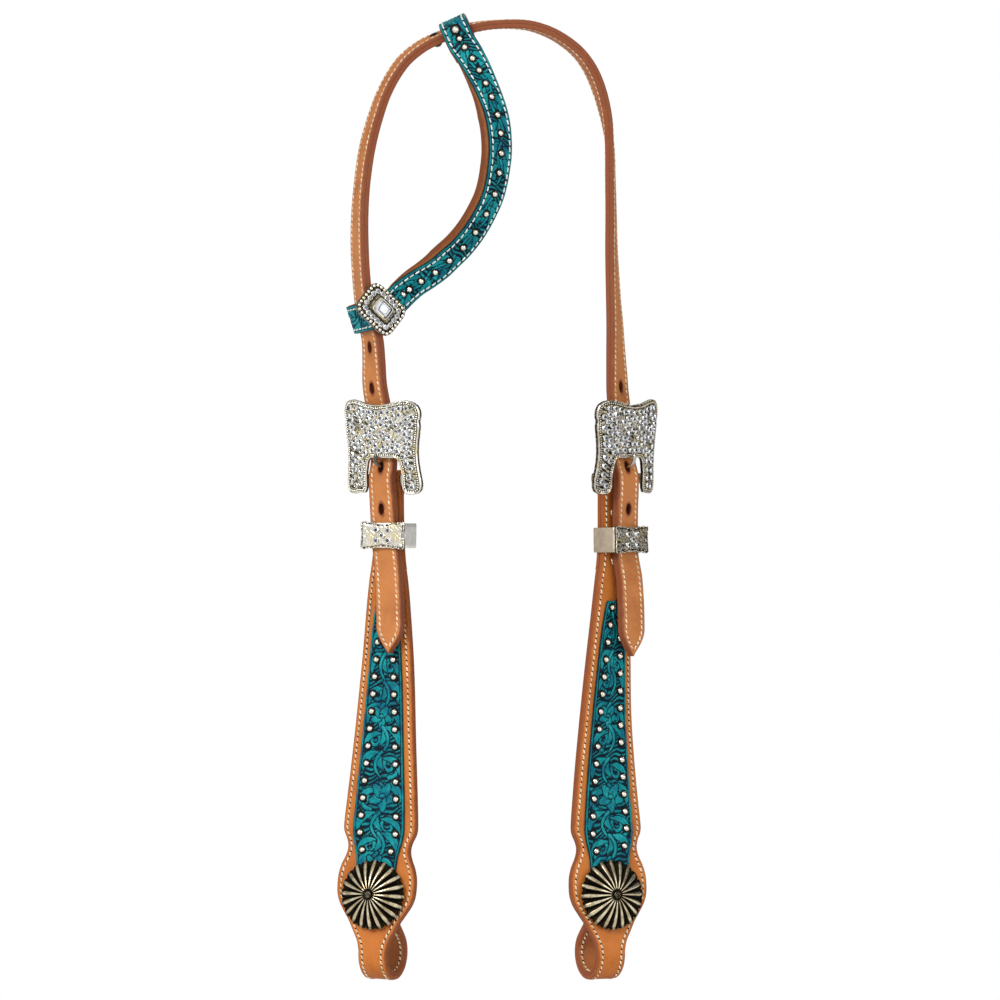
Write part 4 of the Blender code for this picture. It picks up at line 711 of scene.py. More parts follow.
def new_piece(name, points, faces, material, uvs=None, attributes=None, smooth=True):
    """A mesh object in place, with per-vertex UVs in metres and named point attributes."""
    mesh = bpy.data.meshes.new(name)
    mesh.from_pydata(
        [tuple(map(float, point)) for point in points], [], [tuple(map(int, face)) for face in faces])
    mesh.materials.append(material)
    if uvs is not None:
        layer = mesh.uv_layers.new(name="UVMap")
        corners = np.empty(len(mesh.loops), dtype=np.int32)
        mesh.loops.foreach_get("vertex_index", corners)
        layer.data.foreach_set("uv", np.asarray(uvs, dtype=np.float32)[corners].ravel())
    for key, values in (attributes or {}).items():
        add_layer(mesh, key, values)
    face_outwards(mesh)
    if smooth:
        shade(mesh, 50)
    return linked(name, mesh)


class Shape:
    """Points, faces, UVs and attributes of one piece while it is put together."""

    def __init__(self):
        self.points = []
        self.faces = []
        self.uvs = []
        self.edge = []
        self.relief = []

    def add(self, points, faces, uvs=None, edge=None, relief=None):
        """Add points and their faces. Without an edge they count as far from it, without relief as high."""
        base = len(self.points)
        count = len(points)
        self.points += [Vector(point) for point in points]
        self.faces += [tuple(base + i for i in face) for face in faces]
        self.uvs += uvs or [(p[0] + p[1], p[2]) for p in points]
        self.edge += edge or [FAR_FROM_EDGE] * count
        self.relief += relief or [1.0] * count

    def skin(self, rings, relief=1.0, joined=False):
        """Add a loft through rings, with one relief for all of it or one for each point."""
        points = every(rings)
        shades = relief if isinstance(relief, list) else [relief] * len(points)
        self.add(points, loft(rings, joined), relief=shades)

    def build(self, name, material, smooth=True):
        attributes = {"edge": self.edge, "relief": self.relief}
        return new_piece(name, self.points, self.faces, material, self.uvs, attributes, smooth)


def every(rings):
    return [point for ring in rings for point in ring]


def band(low, high, count):
    """Faces between two rings of points, numbered from low and from high."""
    return [(low + i, low + (i + 1) % count, high + (i + 1) % count, high + i) for i in range(count)]


def loft(rings, joined=False):
    """Faces between equal rings of points, numbered ring after ring, closed at the ends or joined."""
    width = len(rings[0])
    count = len(rings)
    faces = []
    for i in range(count if joined else count - 1):
        faces += band(i * width, (i + 1) % count * width, width)
    if not joined:
        faces += [tuple(range(width)), tuple(range((count - 1) * width, count * width))]
    return faces


def circle(sides, turn=0.0):
    """(x, y) points round a circle 2 m across."""
    angles = [2 * math.pi * (i + turn) / sides for i in range(sides)]
    return [(math.cos(angle), math.sin(angle)) for angle in angles]


def squared_oval(width, height, power, sides, turn=0.0):
    """(x, y) points round an oval whose shoulders are the squarer, the higher the power."""
    points = []
    for x, y in circle(sides, turn):
        reach = (abs(x) ** power + abs(y) ** power) ** (-1 / power)
        points.append((width / 2 * reach * x, height / 2 * reach * y))
    return points


def leather_section(half, inner, outer, round_in, round_out, lanes, groove, inset):
    """A leather strap's cross-section: (across, level, distance to the edge) points."""
    high = min(round_out, half * 0.8, (outer - inner) * 0.48)
    low = min(round_in, half * 0.8, (outer - inner) * 0.48)
    points = []

    def face(level, reach, sign):
        for k in range(lanes + 1):
            u = (2 * k / lanes - 1) * reach
            dip = groove * math.exp(-(((half - abs(u)) - inset) / (0.55 * MM)) ** 2)
            points.append((u * sign, level - dip * sign, half - abs(u)))

    def corner(u_centre, level_centre, radius, start):
        for step in (1, 2):
            angle = math.radians(start - 30 * step)
            points.append((u_centre + radius * math.cos(angle), level_centre + radius * math.sin(angle), 0.0))

    face(outer, half - high, 1)
    corner(half - high, outer - high, high, 90)
    points += [(half, outer - high, SIDE_WALL), (half, inner + low, SIDE_WALL)]
    corner(half - low, inner + low, low, 0)
    face(inner, half - low, -1)
    corner(-half + low, inner + low, low, 270)
    points += [(-half, inner + low, SIDE_WALL), (-half, outer - high, SIDE_WALL)]
    corner(-half + high, outer - high, high, 180)
    return points


def leather_shape(rows, round_in, round_out, lanes, groove=0.0, inset=ROW_INSET, holes=()):
    """A strap of leather lofted through rows of (frame, half width, inner level, outer level)."""
    shape = Shape()
    reach = distances([row[0] for row in rows])
    rings = []
    uvs = []
    edge = []
    for (place, half, inner, outer), along in zip(rows, reach):
        section = leather_section(half, inner, outer, round_in, round_out, lanes, groove, inset)
        rings.append([place.at(u, 0.0, level) for u, level, _ in section])
        uvs += [(u + (0.0 if level > inner + 0.0001 else 0.05), along) for u, level, _ in section]
        edge += [distance for _, _, distance in section]
    points = every(rings)
    if holes:
        array = np.array([tuple(point) for point in points])
        edge = np.array(edge)
        for hole in holes:
            local = array - np.array(tuple(hole.origin))
            u = local @ np.array(tuple(hole.across))
            v = local @ np.array(tuple(hole.along))
            oval = np.sqrt((u / (HOLE_WIDTH / 2)) ** 2 + (v / (HOLE_LENGTH / 2)) ** 2)
            near = np.linalg.norm(local, axis=1) < 0.012
            edge = np.where(near, np.minimum(edge, np.maximum(oval - 1.0, 0.0) * 0.0016), edge)
        edge = edge.tolist()
    shape.add(points, loft(rings), uvs, edge)
    return shape


def oval_cutter(frames, radius_across, radius_along, low, high, sides=28):
    """One oval cylinder through each frame, for punching leather."""
    points = []
    faces = []
    for place in frames:
        base = len(points)
        top = base + sides
        for level in (low, high):
            points += [place.at(radius_across * x, radius_along * y, level) for x, y in circle(sides)]
        faces += band(base, top, sides)
        faces += [tuple(range(base, top)), tuple(range(top, top + sides))]
    return points, faces


def punch(thing, points, faces, material):
    """Cut holes through a piece and leave their walls in their own material."""
    zeros = [0.0] * len(points)
    cutter = new_piece(
        f"{thing.name}_punch", points, faces, material, [(0.0, p.z) for p in points],
        {"edge": zeros, "relief": zeros}, smooth=False)
    cut = thing.modifiers.new("Punch", "BOOLEAN")
    cut.operation = "DIFFERENCE"
    cut.solver = "EXACT"
    cut.object = cutter
    cut.material_mode = "TRANSFER"
    apply_modifiers(thing)
    bpy.data.objects.remove(cutter)


def apply_modifiers(thing):
    """Replace an object's mesh with the one its modifiers make."""
    graph = bpy.context.evaluated_depsgraph_get()
    graph.update()
    mesh = bpy.data.meshes.new_from_object(
        thing.evaluated_get(graph), preserve_all_data_layers=True, depsgraph=graph)
    thing.modifiers.clear()
    thing.data = mesh


def turned_shape(shape, place, rings, sides, relief=None):
    """Add a body turned about a frame's outward axis from (radius, level) rings to a shape."""
    points = []
    faces = []
    shades = []
    starts = []
    for number, (radius, level) in enumerate(rings):
        count = 1 if radius == 0 else sides
        starts.append((len(points), count))
        points += [place.at(radius * x, radius * y, level) for x, y in circle(sides)[:count]]
        shades += [relief[number] if relief else 1.0] * count
    for (low, low_count), (high, high_count) in zip(starts, starts[1:]):
        if low_count == 1:
            faces += [(low, high + i, high + (i + 1) % sides) for i in range(sides)]
        elif high_count == 1:
            faces += [(low + i, low + (i + 1) % sides, high) for i in range(sides)]
        else:
            faces += band(low, high, sides)
    faces += [tuple(range(start, start + count)) for start, count in (starts[0], starts[-1]) if count > 1]
    shape.add(points, faces, relief=shades)


def join(name, things):
    """One object from several that are already meshes in place."""
    target = things[0]
    if len(things) > 1:
        with bpy.context.temp_override(active_object=target, selected_editable_objects=things, object=target):
            bpy.ops.object.join()
    target.name = name
    return target


# Repeats: stitches, spots, beads and stones are set along paths and on points

def new_tree(name, inputs):
    """A geometry node tree with one geometry in, named sizes in, and one geometry out."""
    tree = bpy.data.node_groups.new(name, "GeometryNodeTree")
    tree.interface.new_socket("Geometry", in_out="INPUT", socket_type="NodeSocketGeometry")
    for label, kind in inputs:
        tree.interface.new_socket(label, in_out="INPUT", socket_type=kind)
    tree.interface.new_socket("Geometry", in_out="OUTPUT", socket_type="NodeSocketGeometry")
    return tree, tree.nodes.new("NodeGroupInput"), tree.nodes.new("NodeGroupOutput")


def wire(tree, node, sources):
    """Join a node's inputs to sockets, or set them to values."""
    for key, value in sources:
        if isinstance(value, bpy.types.NodeSocket):
            tree.links.new(value, node.inputs[key])
        elif value is not None:
            node.inputs[key].default_value = value


def add_node(tree, kind, sources=(), **settings):
    """A new node with its settings and inputs."""
    node = tree.nodes.new(kind)
    for key, value in settings.items():
        setattr(node, key, value)
    wire(tree, node, sources)
    return node


def named(tree, name, kind):
    """A point attribute of the path or the points that a tree runs on."""
    node = add_node(tree, "GeometryNodeInputNamedAttribute", (("Name", name),), data_type=kind)
    return node.outputs["Attribute"]


def aligned(tree, rotation, axis, pivot, vector):
    """A rotation that turns one axis towards a vector."""
    sources = (("Rotation", rotation), ("Vector", vector))
    node = add_node(tree, "FunctionNodeAlignRotationToVector", sources, axis=axis, pivot_axis=pivot)
    return node.outputs["Rotation"]


def maths(tree, mode, first, second):
    return add_node(tree, "ShaderNodeMath", ((0, first), (1, second)), operation=mode).outputs[0]


def finish_tree(tree, source, output, points, rotation, scale):
    """Instance the shape on the points, make it real and give it its material."""
    shape = (("Object", source.outputs["Shape"]),)
    info = add_node(tree, "GeometryNodeObjectInfo", shape, transform_space="ORIGINAL")
    setter = add_node(tree, "GeometryNodeInstanceOnPoints", (
        ("Points", points), ("Instance", info.outputs["Geometry"]), ("Rotation", rotation), ("Scale", scale)))
    real = add_node(tree, "GeometryNodeRealizeInstances", (("Geometry", setter.outputs["Instances"]),))
    dress = add_node(tree, "GeometryNodeSetMaterial", (
        ("Geometry", real.outputs["Geometry"]), ("Material", source.outputs["Material"])))
    wire(tree, output, (("Geometry", dress.outputs["Geometry"]),))
    return tree


def sewing_tree():
    """Stitches at an even pitch along seam paths, each a little different."""
    inputs = (("Pitch", "NodeSocketFloat"), ("Seed", "NodeSocketInt"), ("Wander", "NodeSocketFloat"),
              ("Shape", "NodeSocketObject"), ("Material", "NodeSocketMaterial"))
    tree, source, output = new_tree("seam_stitches", inputs)
    curve = add_node(tree, "GeometryNodeMeshToCurve", (("Mesh", source.outputs["Geometry"]),))
    even = add_node(tree, "GeometryNodeResampleCurve", (
        ("Curve", curve.outputs["Curve"]), ("Length", source.outputs["Pitch"])), mode="LENGTH")
    tangent = add_node(tree, "GeometryNodeInputTangent").outputs["Tangent"]
    along = aligned(tree, None, "X", "AUTO", tangent)
    facing = aligned(tree, along, "Z", "X", named(tree, "out", "FLOAT_VECTOR"))
    wander = source.outputs["Wander"]
    spread = add_node(tree, "FunctionNodeRandomValue", (
        ("Seed", source.outputs["Seed"]), (2, maths(tree, "SUBTRACT", 1.0, wander)),
        (3, maths(tree, "ADD", 1.0, wander))), data_type="FLOAT")
    return finish_tree(tree, source, output, even.outputs["Curve"], facing, spread.outputs[1])


def setting_tree():
    """Spots, beads or stones on points that say which way is out, which way is along, and how big."""
    inputs = (("Size", "NodeSocketFloat"), ("Shape", "NodeSocketObject"), ("Material", "NodeSocketMaterial"))
    tree, source, output = new_tree("set_pieces", inputs)
    facing = aligned(tree, None, "Z", "AUTO", named(tree, "out", "FLOAT_VECTOR"))
    turned = aligned(tree, facing, "X", "Z", named(tree, "along", "FLOAT_VECTOR"))
    size = maths(tree, "MULTIPLY", source.outputs["Size"], named(tree, "size", "FLOAT"))
    return finish_tree(tree, source, output, source.outputs["Geometry"], turned, size)


def run_tree(thing, tree, values):
    """Run a node tree on an object with its inputs set, and keep the plain mesh."""
    modifier = thing.modifiers.new("Repeats", "NODES")
    modifier.node_group = tree
    sockets = {
        item.name: item.identifier for item in tree.interface.items_tree
        if item.item_type == "SOCKET" and item.in_out == "INPUT"
    }
    for label, value in values.items():
        modifier[sockets[label]] = value
    apply_modifiers(thing)
    return thing


def sewn(name, paths, shape, pitch, seed, material, wander=0.08):
    """Stitches along paths of (point, outward way)."""
    edges = []
    base = 0
    for path in paths:
        edges += [(base + i, base + i + 1) for i in range(len(path) - 1)]
        base += len(path)
    mesh = bpy.data.meshes.new(name)
    mesh.from_pydata([tuple(point) for point, _ in every(paths)], edges, [])
    add_layer(mesh, "out", [tuple(out) for _, out in every(paths)])
    values = {"Pitch": pitch, "Seed": seed, "Wander": wander, "Shape": shape, "Material": material}
    thing = run_tree(linked(name, mesh), sew, values)
    thing.data.shade_smooth()
    return thing


def set_on(name, places, shape, material, body, slot, smooth=True):
    """Copies of a shape at (point, outward way, along way, size), as one piece on its body."""
    mesh = bpy.data.meshes.new(name)
    mesh.from_pydata([tuple(place[0]) for place in places], [], [])
    add_layer(mesh, "out", [tuple(place[1]) for place in places])
    add_layer(mesh, "along", [tuple(place[2]) for place in places])
    add_layer(mesh, "size", [place[3] for place in places])
    thing = run_tree(linked(name, mesh), setting, {"Size": 1.0, "Shape": shape, "Material": material})
    if smooth:
        shade(thing.data, 60)
    dressed(thing, body, slot)


def pattern_shape(name, points, faces):
    """A small shape that the trees copy. It isn't shown itself."""
    mesh = bpy.data.meshes.new(name)
    mesh.from_pydata(points, [], faces)
    face_outwards(mesh)
    return bpy.data.objects.new(name, mesh)


def stitch_shape(name, length, width, rise, slant):
    """One stitch: a slanted twist of thread whose ends go down into the leather."""
    rings = []
    stations = ((-0.5, -0.55, 0.45), (-0.36, 0.30, 0.85), (0.0, 0.55, 1.0), (0.36, 0.30, 0.85), (0.5, -0.55, 0.45))
    for share, lift, girth in stations:
        half = width / 2 * girth
        rings.append([
            (share * length, half * x + slant * share * length, rise * lift + half * 0.8 * y)
            for x, y in circle(6)])
    return pattern_shape(name, every(rings), loft(rings))


def stone_shape(name):
    """A round faceted stone of 1 m across: table, star and girdle facets."""
    points = []
    sides = 8
    for radius, level, turn in ((0.29, 0.27, 0.0), (0.42, 0.17, 0.5), (0.5, 0.04, 0.0), (0.5, -0.06, 0.0)):
        points += [(radius * x, radius * y, level) for x, y in circle(sides, turn)]
    faces = [tuple(range(sides))]
    for i in range(sides):
        j = (i + 1) % sides
        faces.append((i, j, sides + i))
        faces.append((sides + i, j, sides + j))
        faces.append((sides + i, 2 * sides + j, 2 * sides + i))
        faces.append((sides + i, sides + j, 2 * sides + j))
        faces.append((2 * sides + i, 2 * sides + j, 3 * sides + j, 3 * sides + i))
    faces.append(tuple(3 * sides + i for i in range(sides)))
    return pattern_shape(name, points, faces)


# Surfaces

class Surface:
    """A material while its nodes are put together."""

    def __init__(self, name):
        self.material = bpy.data.materials.new(name)
        self.material.use_nodes = True
        self.tree = self.material.node_tree
        self.shader = self.tree.nodes["Principled BSDF"]
        self.place = self.tree.nodes.new("ShaderNodeTexCoord").outputs["Object"]

    def node(self, kind, sources=(), **settings):
        return add_node(self.tree, kind, sources, **settings)

    def noise(self, scale, detail=4.0, roughness=0.55, place=None):
        place = place or self.place
        sources = (("Scale", scale), ("Detail", detail), ("Roughness", roughness), ("Vector", place))
        return self.node("ShaderNodeTexNoise", sources).outputs["Fac"]

    def cells(self, scale):
        return self.node("ShaderNodeTexVoronoi", (("Scale", scale), ("Vector", self.place))).outputs["Distance"]

    def along_strap(self, across, along):
        """Coordinates along the strap, stretched so that fibres and wear run with it."""
        uv = self.node("ShaderNodeUVMap", uv_map="UVMap").outputs["UV"]
        return self.node("ShaderNodeMapping", (("Scale", (across, along, 1.0)), ("Vector", uv))).outputs["Vector"]

    def attribute(self, name):
        return self.node("ShaderNodeAttribute", attribute_name=name).outputs["Fac"]

    def spread(self, value, low, high, to_low=0.0, to_high=1.0):
        """A value eased from one range to another."""
        sources = (
            ("Value", value), ("From Min", low), ("From Max", high), ("To Min", to_low), ("To Max", to_high))
        return self.node("ShaderNodeMapRange", sources, interpolation_type="SMOOTHSTEP").outputs["Result"]

    def cloudy(self, scale, low, high, to_low=0.0, to_high=1.0, detail=4.0, roughness=0.55):
        """Noise eased from one range to another."""
        return self.spread(self.noise(scale, detail, roughness), low, high, to_low, to_high)

    def ramp(self, value, stops):
        node = self.node("ShaderNodeValToRGB", (("Fac", value),))
        elements = node.color_ramp.elements
        while len(elements) < len(stops):
            elements.new(0.5)
        for element, (position, colour) in zip(elements, stops):
            element.position = position
            element.color = (*colour, 1.0)
        return node.outputs["Color"]

    def mix(self, share, first, second):
        """Two colours, each a socket or three numbers, mixed by a share."""
        sources = [(0, share)]
        sources += [(key, (*c, 1.0) if isinstance(c, tuple) else c) for key, c in ((6, first), (7, second))]
        return self.node("ShaderNodeMix", sources, data_type="RGBA").outputs[2]

    def sum(self, first, second, mode="ADD"):
        return maths(self.tree, mode, first, second)

    def bump(self, height, distance, strength=1.0, under=None):
        sources = (("Strength", strength), ("Distance", distance), ("Height", height), ("Normal", under))
        return self.node("ShaderNodeBump", sources).outputs["Normal"]

    def finish(self, colour, roughness, normal, metallic=0.0, coat=0.0, sheen=0.0, gloss=0.3):
        """Wire the shader and hand over the material."""
        wire(self.tree, self.shader, (
            ("Base Color", colour), ("Roughness", roughness), ("Normal", normal), ("Metallic", metallic),
            ("Specular IOR Level", gloss), ("Coat Weight", coat), ("Coat Roughness", 0.25), ("Sheen Weight", sheen)))
        return self.material


def brighter(colour, factor, lift=0.0):
    return tuple(min(c * factor + lift, 1.0) for c in colour)


def leather(name, light, dark, burnished, shine=0.42, mottle=0.5):
    """Oiled harness leather: mottled dye, fine grain, long fibres and burnished edges."""
    made = Surface(name)
    middle = tuple((a + b) / 2 for a, b in zip(light, dark))
    clouds = made.cloudy(55.0, 0.3, 0.72, detail=5.0, roughness=0.6)
    colour = made.ramp(clouds, ((0.0, middle), (0.5, light), (1.0, brighter(light, 1.08))))
    fibres = made.noise(1.0, 6.0, 0.6, made.along_strap(900.0, 90.0))
    colour = made.mix(made.spread(fibres, 0.52, 0.8, 0.0, mottle), colour, dark)
    pores = made.cells(1500.0)
    colour = made.mix(made.spread(pores, 0.0, 0.32, 0.22, 0.0), colour, burnished)
    near = made.sum(made.attribute("edge"), made.cloudy(260.0, 0.3, 0.7, -0.0003, 0.0003, 3.0))
    colour = made.mix(made.spread(near, -0.0001, 0.0012, 0.94, 0.0), colour, burnished)
    rough = made.cloudy(420.0, 0.3, 0.75, shine - 0.07, shine + 0.16)
    grain = made.bump(made.noise(2600.0, 5.0, 0.6), 0.00007, 0.5)
    normal = made.bump(pores, 0.00009, 0.45, made.bump(fibres, 0.00006, 0.35, grain))
    return made.finish(colour, rough, normal, coat=0.02, gloss=0.18)


def tooled_leather(name, light, middle, deep):
    """Dyed and tooled leather: dye worn off the raised leaves with a painted highlight on them, dark antiquing and
    painted shade in the cuts, and a painted shadow along the edge.
    """
    made = Surface(name)
    cut = made.attribute("relief")
    clouds = made.cloudy(120.0, 0.32, 0.7, detail=5.0, roughness=0.6)
    face = made.ramp(clouds, ((0.0, middle), (0.6, light), (1.0, brighter(light, 1.22, 0.01))))
    # Dark in the cuts: antiquing, and painted shade
    paste_and_shade = made.sum(cut, made.cloudy(900.0, 0.25, 0.8, -0.12, 0.14))
    colour = made.mix(made.spread(paste_and_shade, 0.16, 0.74), deep, face)
    # Lighter on the raised tops: dye worn off, and a painted highlight
    wear_and_highlight = made.sum(made.spread(cut, 0.86, 1.0), made.cloudy(700.0, 0.45, 0.68, detail=3.0), "MULTIPLY")
    colour = made.mix(made.sum(wear_and_highlight, 0.42, "MULTIPLY"), colour, brighter(light, 1.5, 0.05))
    # Painted shadow: darker towards the panel's edge
    colour = made.mix(made.spread(made.attribute("edge"), 0.0, 0.0009, 0.75, 0.0), colour, deep)
    rough = made.spread(cut, 0.0, 1.0, 0.62, 0.36)
    grain = made.bump(made.noise(2400.0, 5.0, 0.6), 0.00008, 0.55)
    normal = made.bump(made.cells(1600.0), 0.00009, 0.4, grain)
    return made.finish(colour, rough, normal, coat=0.01, gloss=0.10)


def metal(name, bright, worn, deep, roughness, tint=None):
    """Cast and plated metal: smoother on the heights, dark low down with tarnish in the hollows and painted shade
    where a piece's relief calls for it, and fine scratches.
    """
    made = Surface(name)
    cut = made.attribute("relief")
    colour = made.mix(made.cloudy(190.0, 0.34, 0.68, detail=5.0, roughness=0.6), worn, bright)
    if tint:
        colour = made.mix(made.cloudy(170.0, 0.5, 0.6, 0.0, 0.75, 2.0), colour, tint)
    # Dark where the relief is low: tarnish in the hollows, and painted shade on the concho's flutes and round the
    # spots
    paste_and_shade = made.sum(cut, made.cloudy(800.0, 0.25, 0.8, -0.1, 0.12))
    colour = made.mix(made.spread(paste_and_shade, 0.18, 0.72), deep, colour)
    scratches = made.noise(1500.0, 6.0, 0.7)
    rough = made.sum(made.spread(scratches, 0.3, 0.75, roughness - 0.05, roughness + 0.12),
                     made.spread(cut, 0.0, 0.8, 0.35, 0.0))
    normal = made.bump(scratches, 0.00004, 0.35, made.bump(made.noise(330.0, 3.0), 0.0002, 0.25))
    return made.finish(colour, rough, normal, metallic=1.0)


def clear_stones(name):
    """Foil-backed cut stones: every facet gets its own painted brightness, painted glints on some and painted dark
    reflections on others.
    """
    made = Surface(name)
    colour = made.ramp(made.attribute("tone"), (
        (0.0, (0.06, 0.065, 0.08)), (0.35, (0.42, 0.46, 0.52)), (0.7, (0.9, 0.94, 0.98)), (1.0, (1.0, 1.0, 1.0))))
    colour = made.mix(made.cloudy(300.0, 0.5, 0.66, 0.0, 0.2, 2.0), colour, (0.75, 0.83, 1.0))
    rough = made.cloudy(900.0, 0.3, 0.7, 0.03, 0.1, 2.0)
    return made.finish(colour, rough, None, metallic=0.72, coat=0.12)


def thread(name, light, dark):
    """Waxed twist: plies across the stitch, darker in between."""
    made = Surface(name)
    twist = made.noise(3800.0, 4.0, 0.6)
    colour = made.mix(made.cloudy(350.0, 0.38, 0.66), dark, light)
    colour = made.mix(made.spread(twist, 0.3, 0.55, 0.4, 0.0), colour, dark)
    rough = made.spread(twist, 0.3, 0.7, 0.55, 0.8)
    return made.finish(colour, rough, made.bump(twist, 0.00012, 0.8), sheen=0.25)


tan_leather = leather(
    "tan_leather", (0.51, 0.160, 0.029), (0.35, 0.088, 0.014), (0.26, 0.068, 0.016), shine=0.46)
crown_leather = leather(
    "crown_leather", (0.50, 0.185, 0.056), (0.34, 0.108, 0.032), (0.20, 0.056, 0.024), shine=0.40)
flesh_leather = leather(
    "leather_back", (0.42, 0.150, 0.048), (0.28, 0.090, 0.028), (0.22, 0.060, 0.024), shine=0.6, mottle=0.8)
ear_leather = leather(
    "ear_lining_leather", (0.32, 0.105, 0.028), (0.20, 0.058, 0.016), (0.17, 0.048, 0.015), shine=0.45)
turquoise_leather = tooled_leather(
    "turquoise_leather", (0.002, 0.235, 0.255), (0.001, 0.110, 0.165), (0.001, 0.010, 0.022))
cut_leather = leather(
    "cut_leather", (0.34, 0.070, 0.024), (0.20, 0.040, 0.014), (0.10, 0.022, 0.008), shine=0.7)
# Near black: painted shade in the awl holes
pricked_leather = leather(
    "pricked_leather", (0.050, 0.014, 0.007), (0.025, 0.008, 0.004), (0.012, 0.004, 0.002), shine=0.8)
cream_thread = thread("cream_thread", (0.92, 0.78, 0.58), (0.62, 0.42, 0.24))
white_thread = thread("white_thread", (0.86, 0.93, 0.90), (0.45, 0.58, 0.55))
buckle_silver = metal(
    "antique_silver", (0.97, 0.95, 0.88), (0.84, 0.80, 0.68), (0.07, 0.06, 0.045),
    roughness=0.17, tint=(0.90, 0.77, 0.44))
keeper_silver = metal(
    "keeper_silver", (0.93, 0.90, 0.82), (0.72, 0.67, 0.56), (0.045, 0.038, 0.028),
    roughness=0.2, tint=(0.87, 0.76, 0.48))
plain_nickel = metal("plain_nickel", (1.0, 0.99, 0.96), (0.90, 0.88, 0.84), (0.12, 0.11, 0.10), roughness=0.42)
worn_nickel = metal("worn_nickel", (0.62, 0.53, 0.41), (0.50, 0.42, 0.32), (0.10, 0.085, 0.07), roughness=0.45)
dark_silver = metal(
    "dark_silver", (0.84, 0.79, 0.70), (0.42, 0.38, 0.31), (0.018, 0.015, 0.012),
    roughness=0.2, tint=(0.62, 0.52, 0.32))
concho_nickel = metal(
    "antique_nickel", (0.93, 0.83, 0.58), (0.50, 0.39, 0.23), (0.014, 0.011, 0.007), roughness=0.2)
spot_nickel = metal("spot_nickel", (0.96, 0.92, 0.84), (0.84, 0.78, 0.66), (0.02, 0.017, 0.013), roughness=0.12)
bright_steel = metal("bright_steel", (0.80, 0.79, 0.78), (0.52, 0.50, 0.48), (0.05, 0.045, 0.04), roughness=0.2)
# A darker copy of the steel: painted shade on the left tongue
dull_steel = metal("dull_steel", (0.30, 0.28, 0.26), (0.12, 0.11, 0.10), (0.02, 0.018, 0.016), roughness=0.25)
dark_steel = metal(
    "dark_steel", (0.085, 0.075, 0.07), (0.035, 0.03, 0.028), (0.01, 0.009, 0.008), roughness=0.28)
cut_stones = clear_stones("clear_stone")


# Tooling: leaves, scrolls and petals carved into the leather and the castings

def bezier(start, middle, end, count):
    """Points of a curved stem between two places."""
    t = np.linspace(0.0, 1.0, count)[:, None]
    start, middle, end = (np.array(point) for point in (start, middle, end))
    return (1 - t) ** 2 * start + 2 * t * (1 - t) * middle + t ** 2 * end


def carve(heights, u, v, spine, width, form, vein, soft):
    """Raise one leaf, petal or stem out of the background, over what is there."""
    near = (
        (u > spine[:, 0].min() - width * 1.6) & (u < spine[:, 0].max() + width * 1.6)
        & (v > spine[:, 1].min() - width * 1.6) & (v < spine[:, 1].max() + width * 1.6))
    if not near.any():
        return
    gap = (u[near][:, None] - spine[None, :, 0]) ** 2 + (v[near][:, None] - spine[None, :, 1]) ** 2
    closest = gap.argmin(axis=1)
    away = np.sqrt(gap.min(axis=1))
    share = closest / (len(spine) - 1)
    shape = np.interp(share, [at for at, _ in form], [size for _, size in form])
    reach = width * shape
    inside = (reach - away) / soft
    bevel = np.clip(inside, 0.0, 1.0)
    body = 0.62 + 0.38 * bevel
    if vein:
        body = body - 0.60 * np.exp(-(away / (soft * 0.42)) ** 2) * (share > 0.06)
        body = body - 0.16 * (0.5 + 0.5 * np.cos(share * 46.0 + away / soft * 3.2)) * (away > soft * 0.5)
    rim = (inside > -0.6) & (inside <= 0.0)
    heights[near] = np.where(inside > 0.0, body, np.where(rim, 0.0, heights[near]))


LEAF = ((0.0, 0.25), (0.2, 0.85), (0.45, 1.0), (0.75, 0.62), (1.0, 0.05))
STEM = ((0.0, 1.0), (0.8, 0.8), (1.0, 0.4))
PETAL = ((0.0, 0.4), (0.5, 0.9), (0.8, 1.0), (1.0, 0.6))
# Leaves off the vine: root, bend and tip as shares of the vine's reach and the pitch, and the width
VINE_LEAVES = (
    (((0.2, 0.0), (1.05, 0.15), (0.85, 0.85)), 0.17),
    (((-0.1, 0.25), (-0.95, 0.2), (-0.9, 1.0)), 0.13),
    (((0.0, 0.1), (0.35, 0.35), (-0.25, 0.78)), 0.14),
)


def spiral(centre, radius, start, turns, sense, count=40):
    """Points of a scroll that winds in."""
    t = np.linspace(0.0, 1.0, count)
    angle = math.radians(start) + sense * 2 * math.pi * turns * t
    size = radius * (1 - 0.82 * t)
    return np.stack((centre[0] + size * np.cos(angle), centre[1] + size * np.sin(angle)), axis=1)


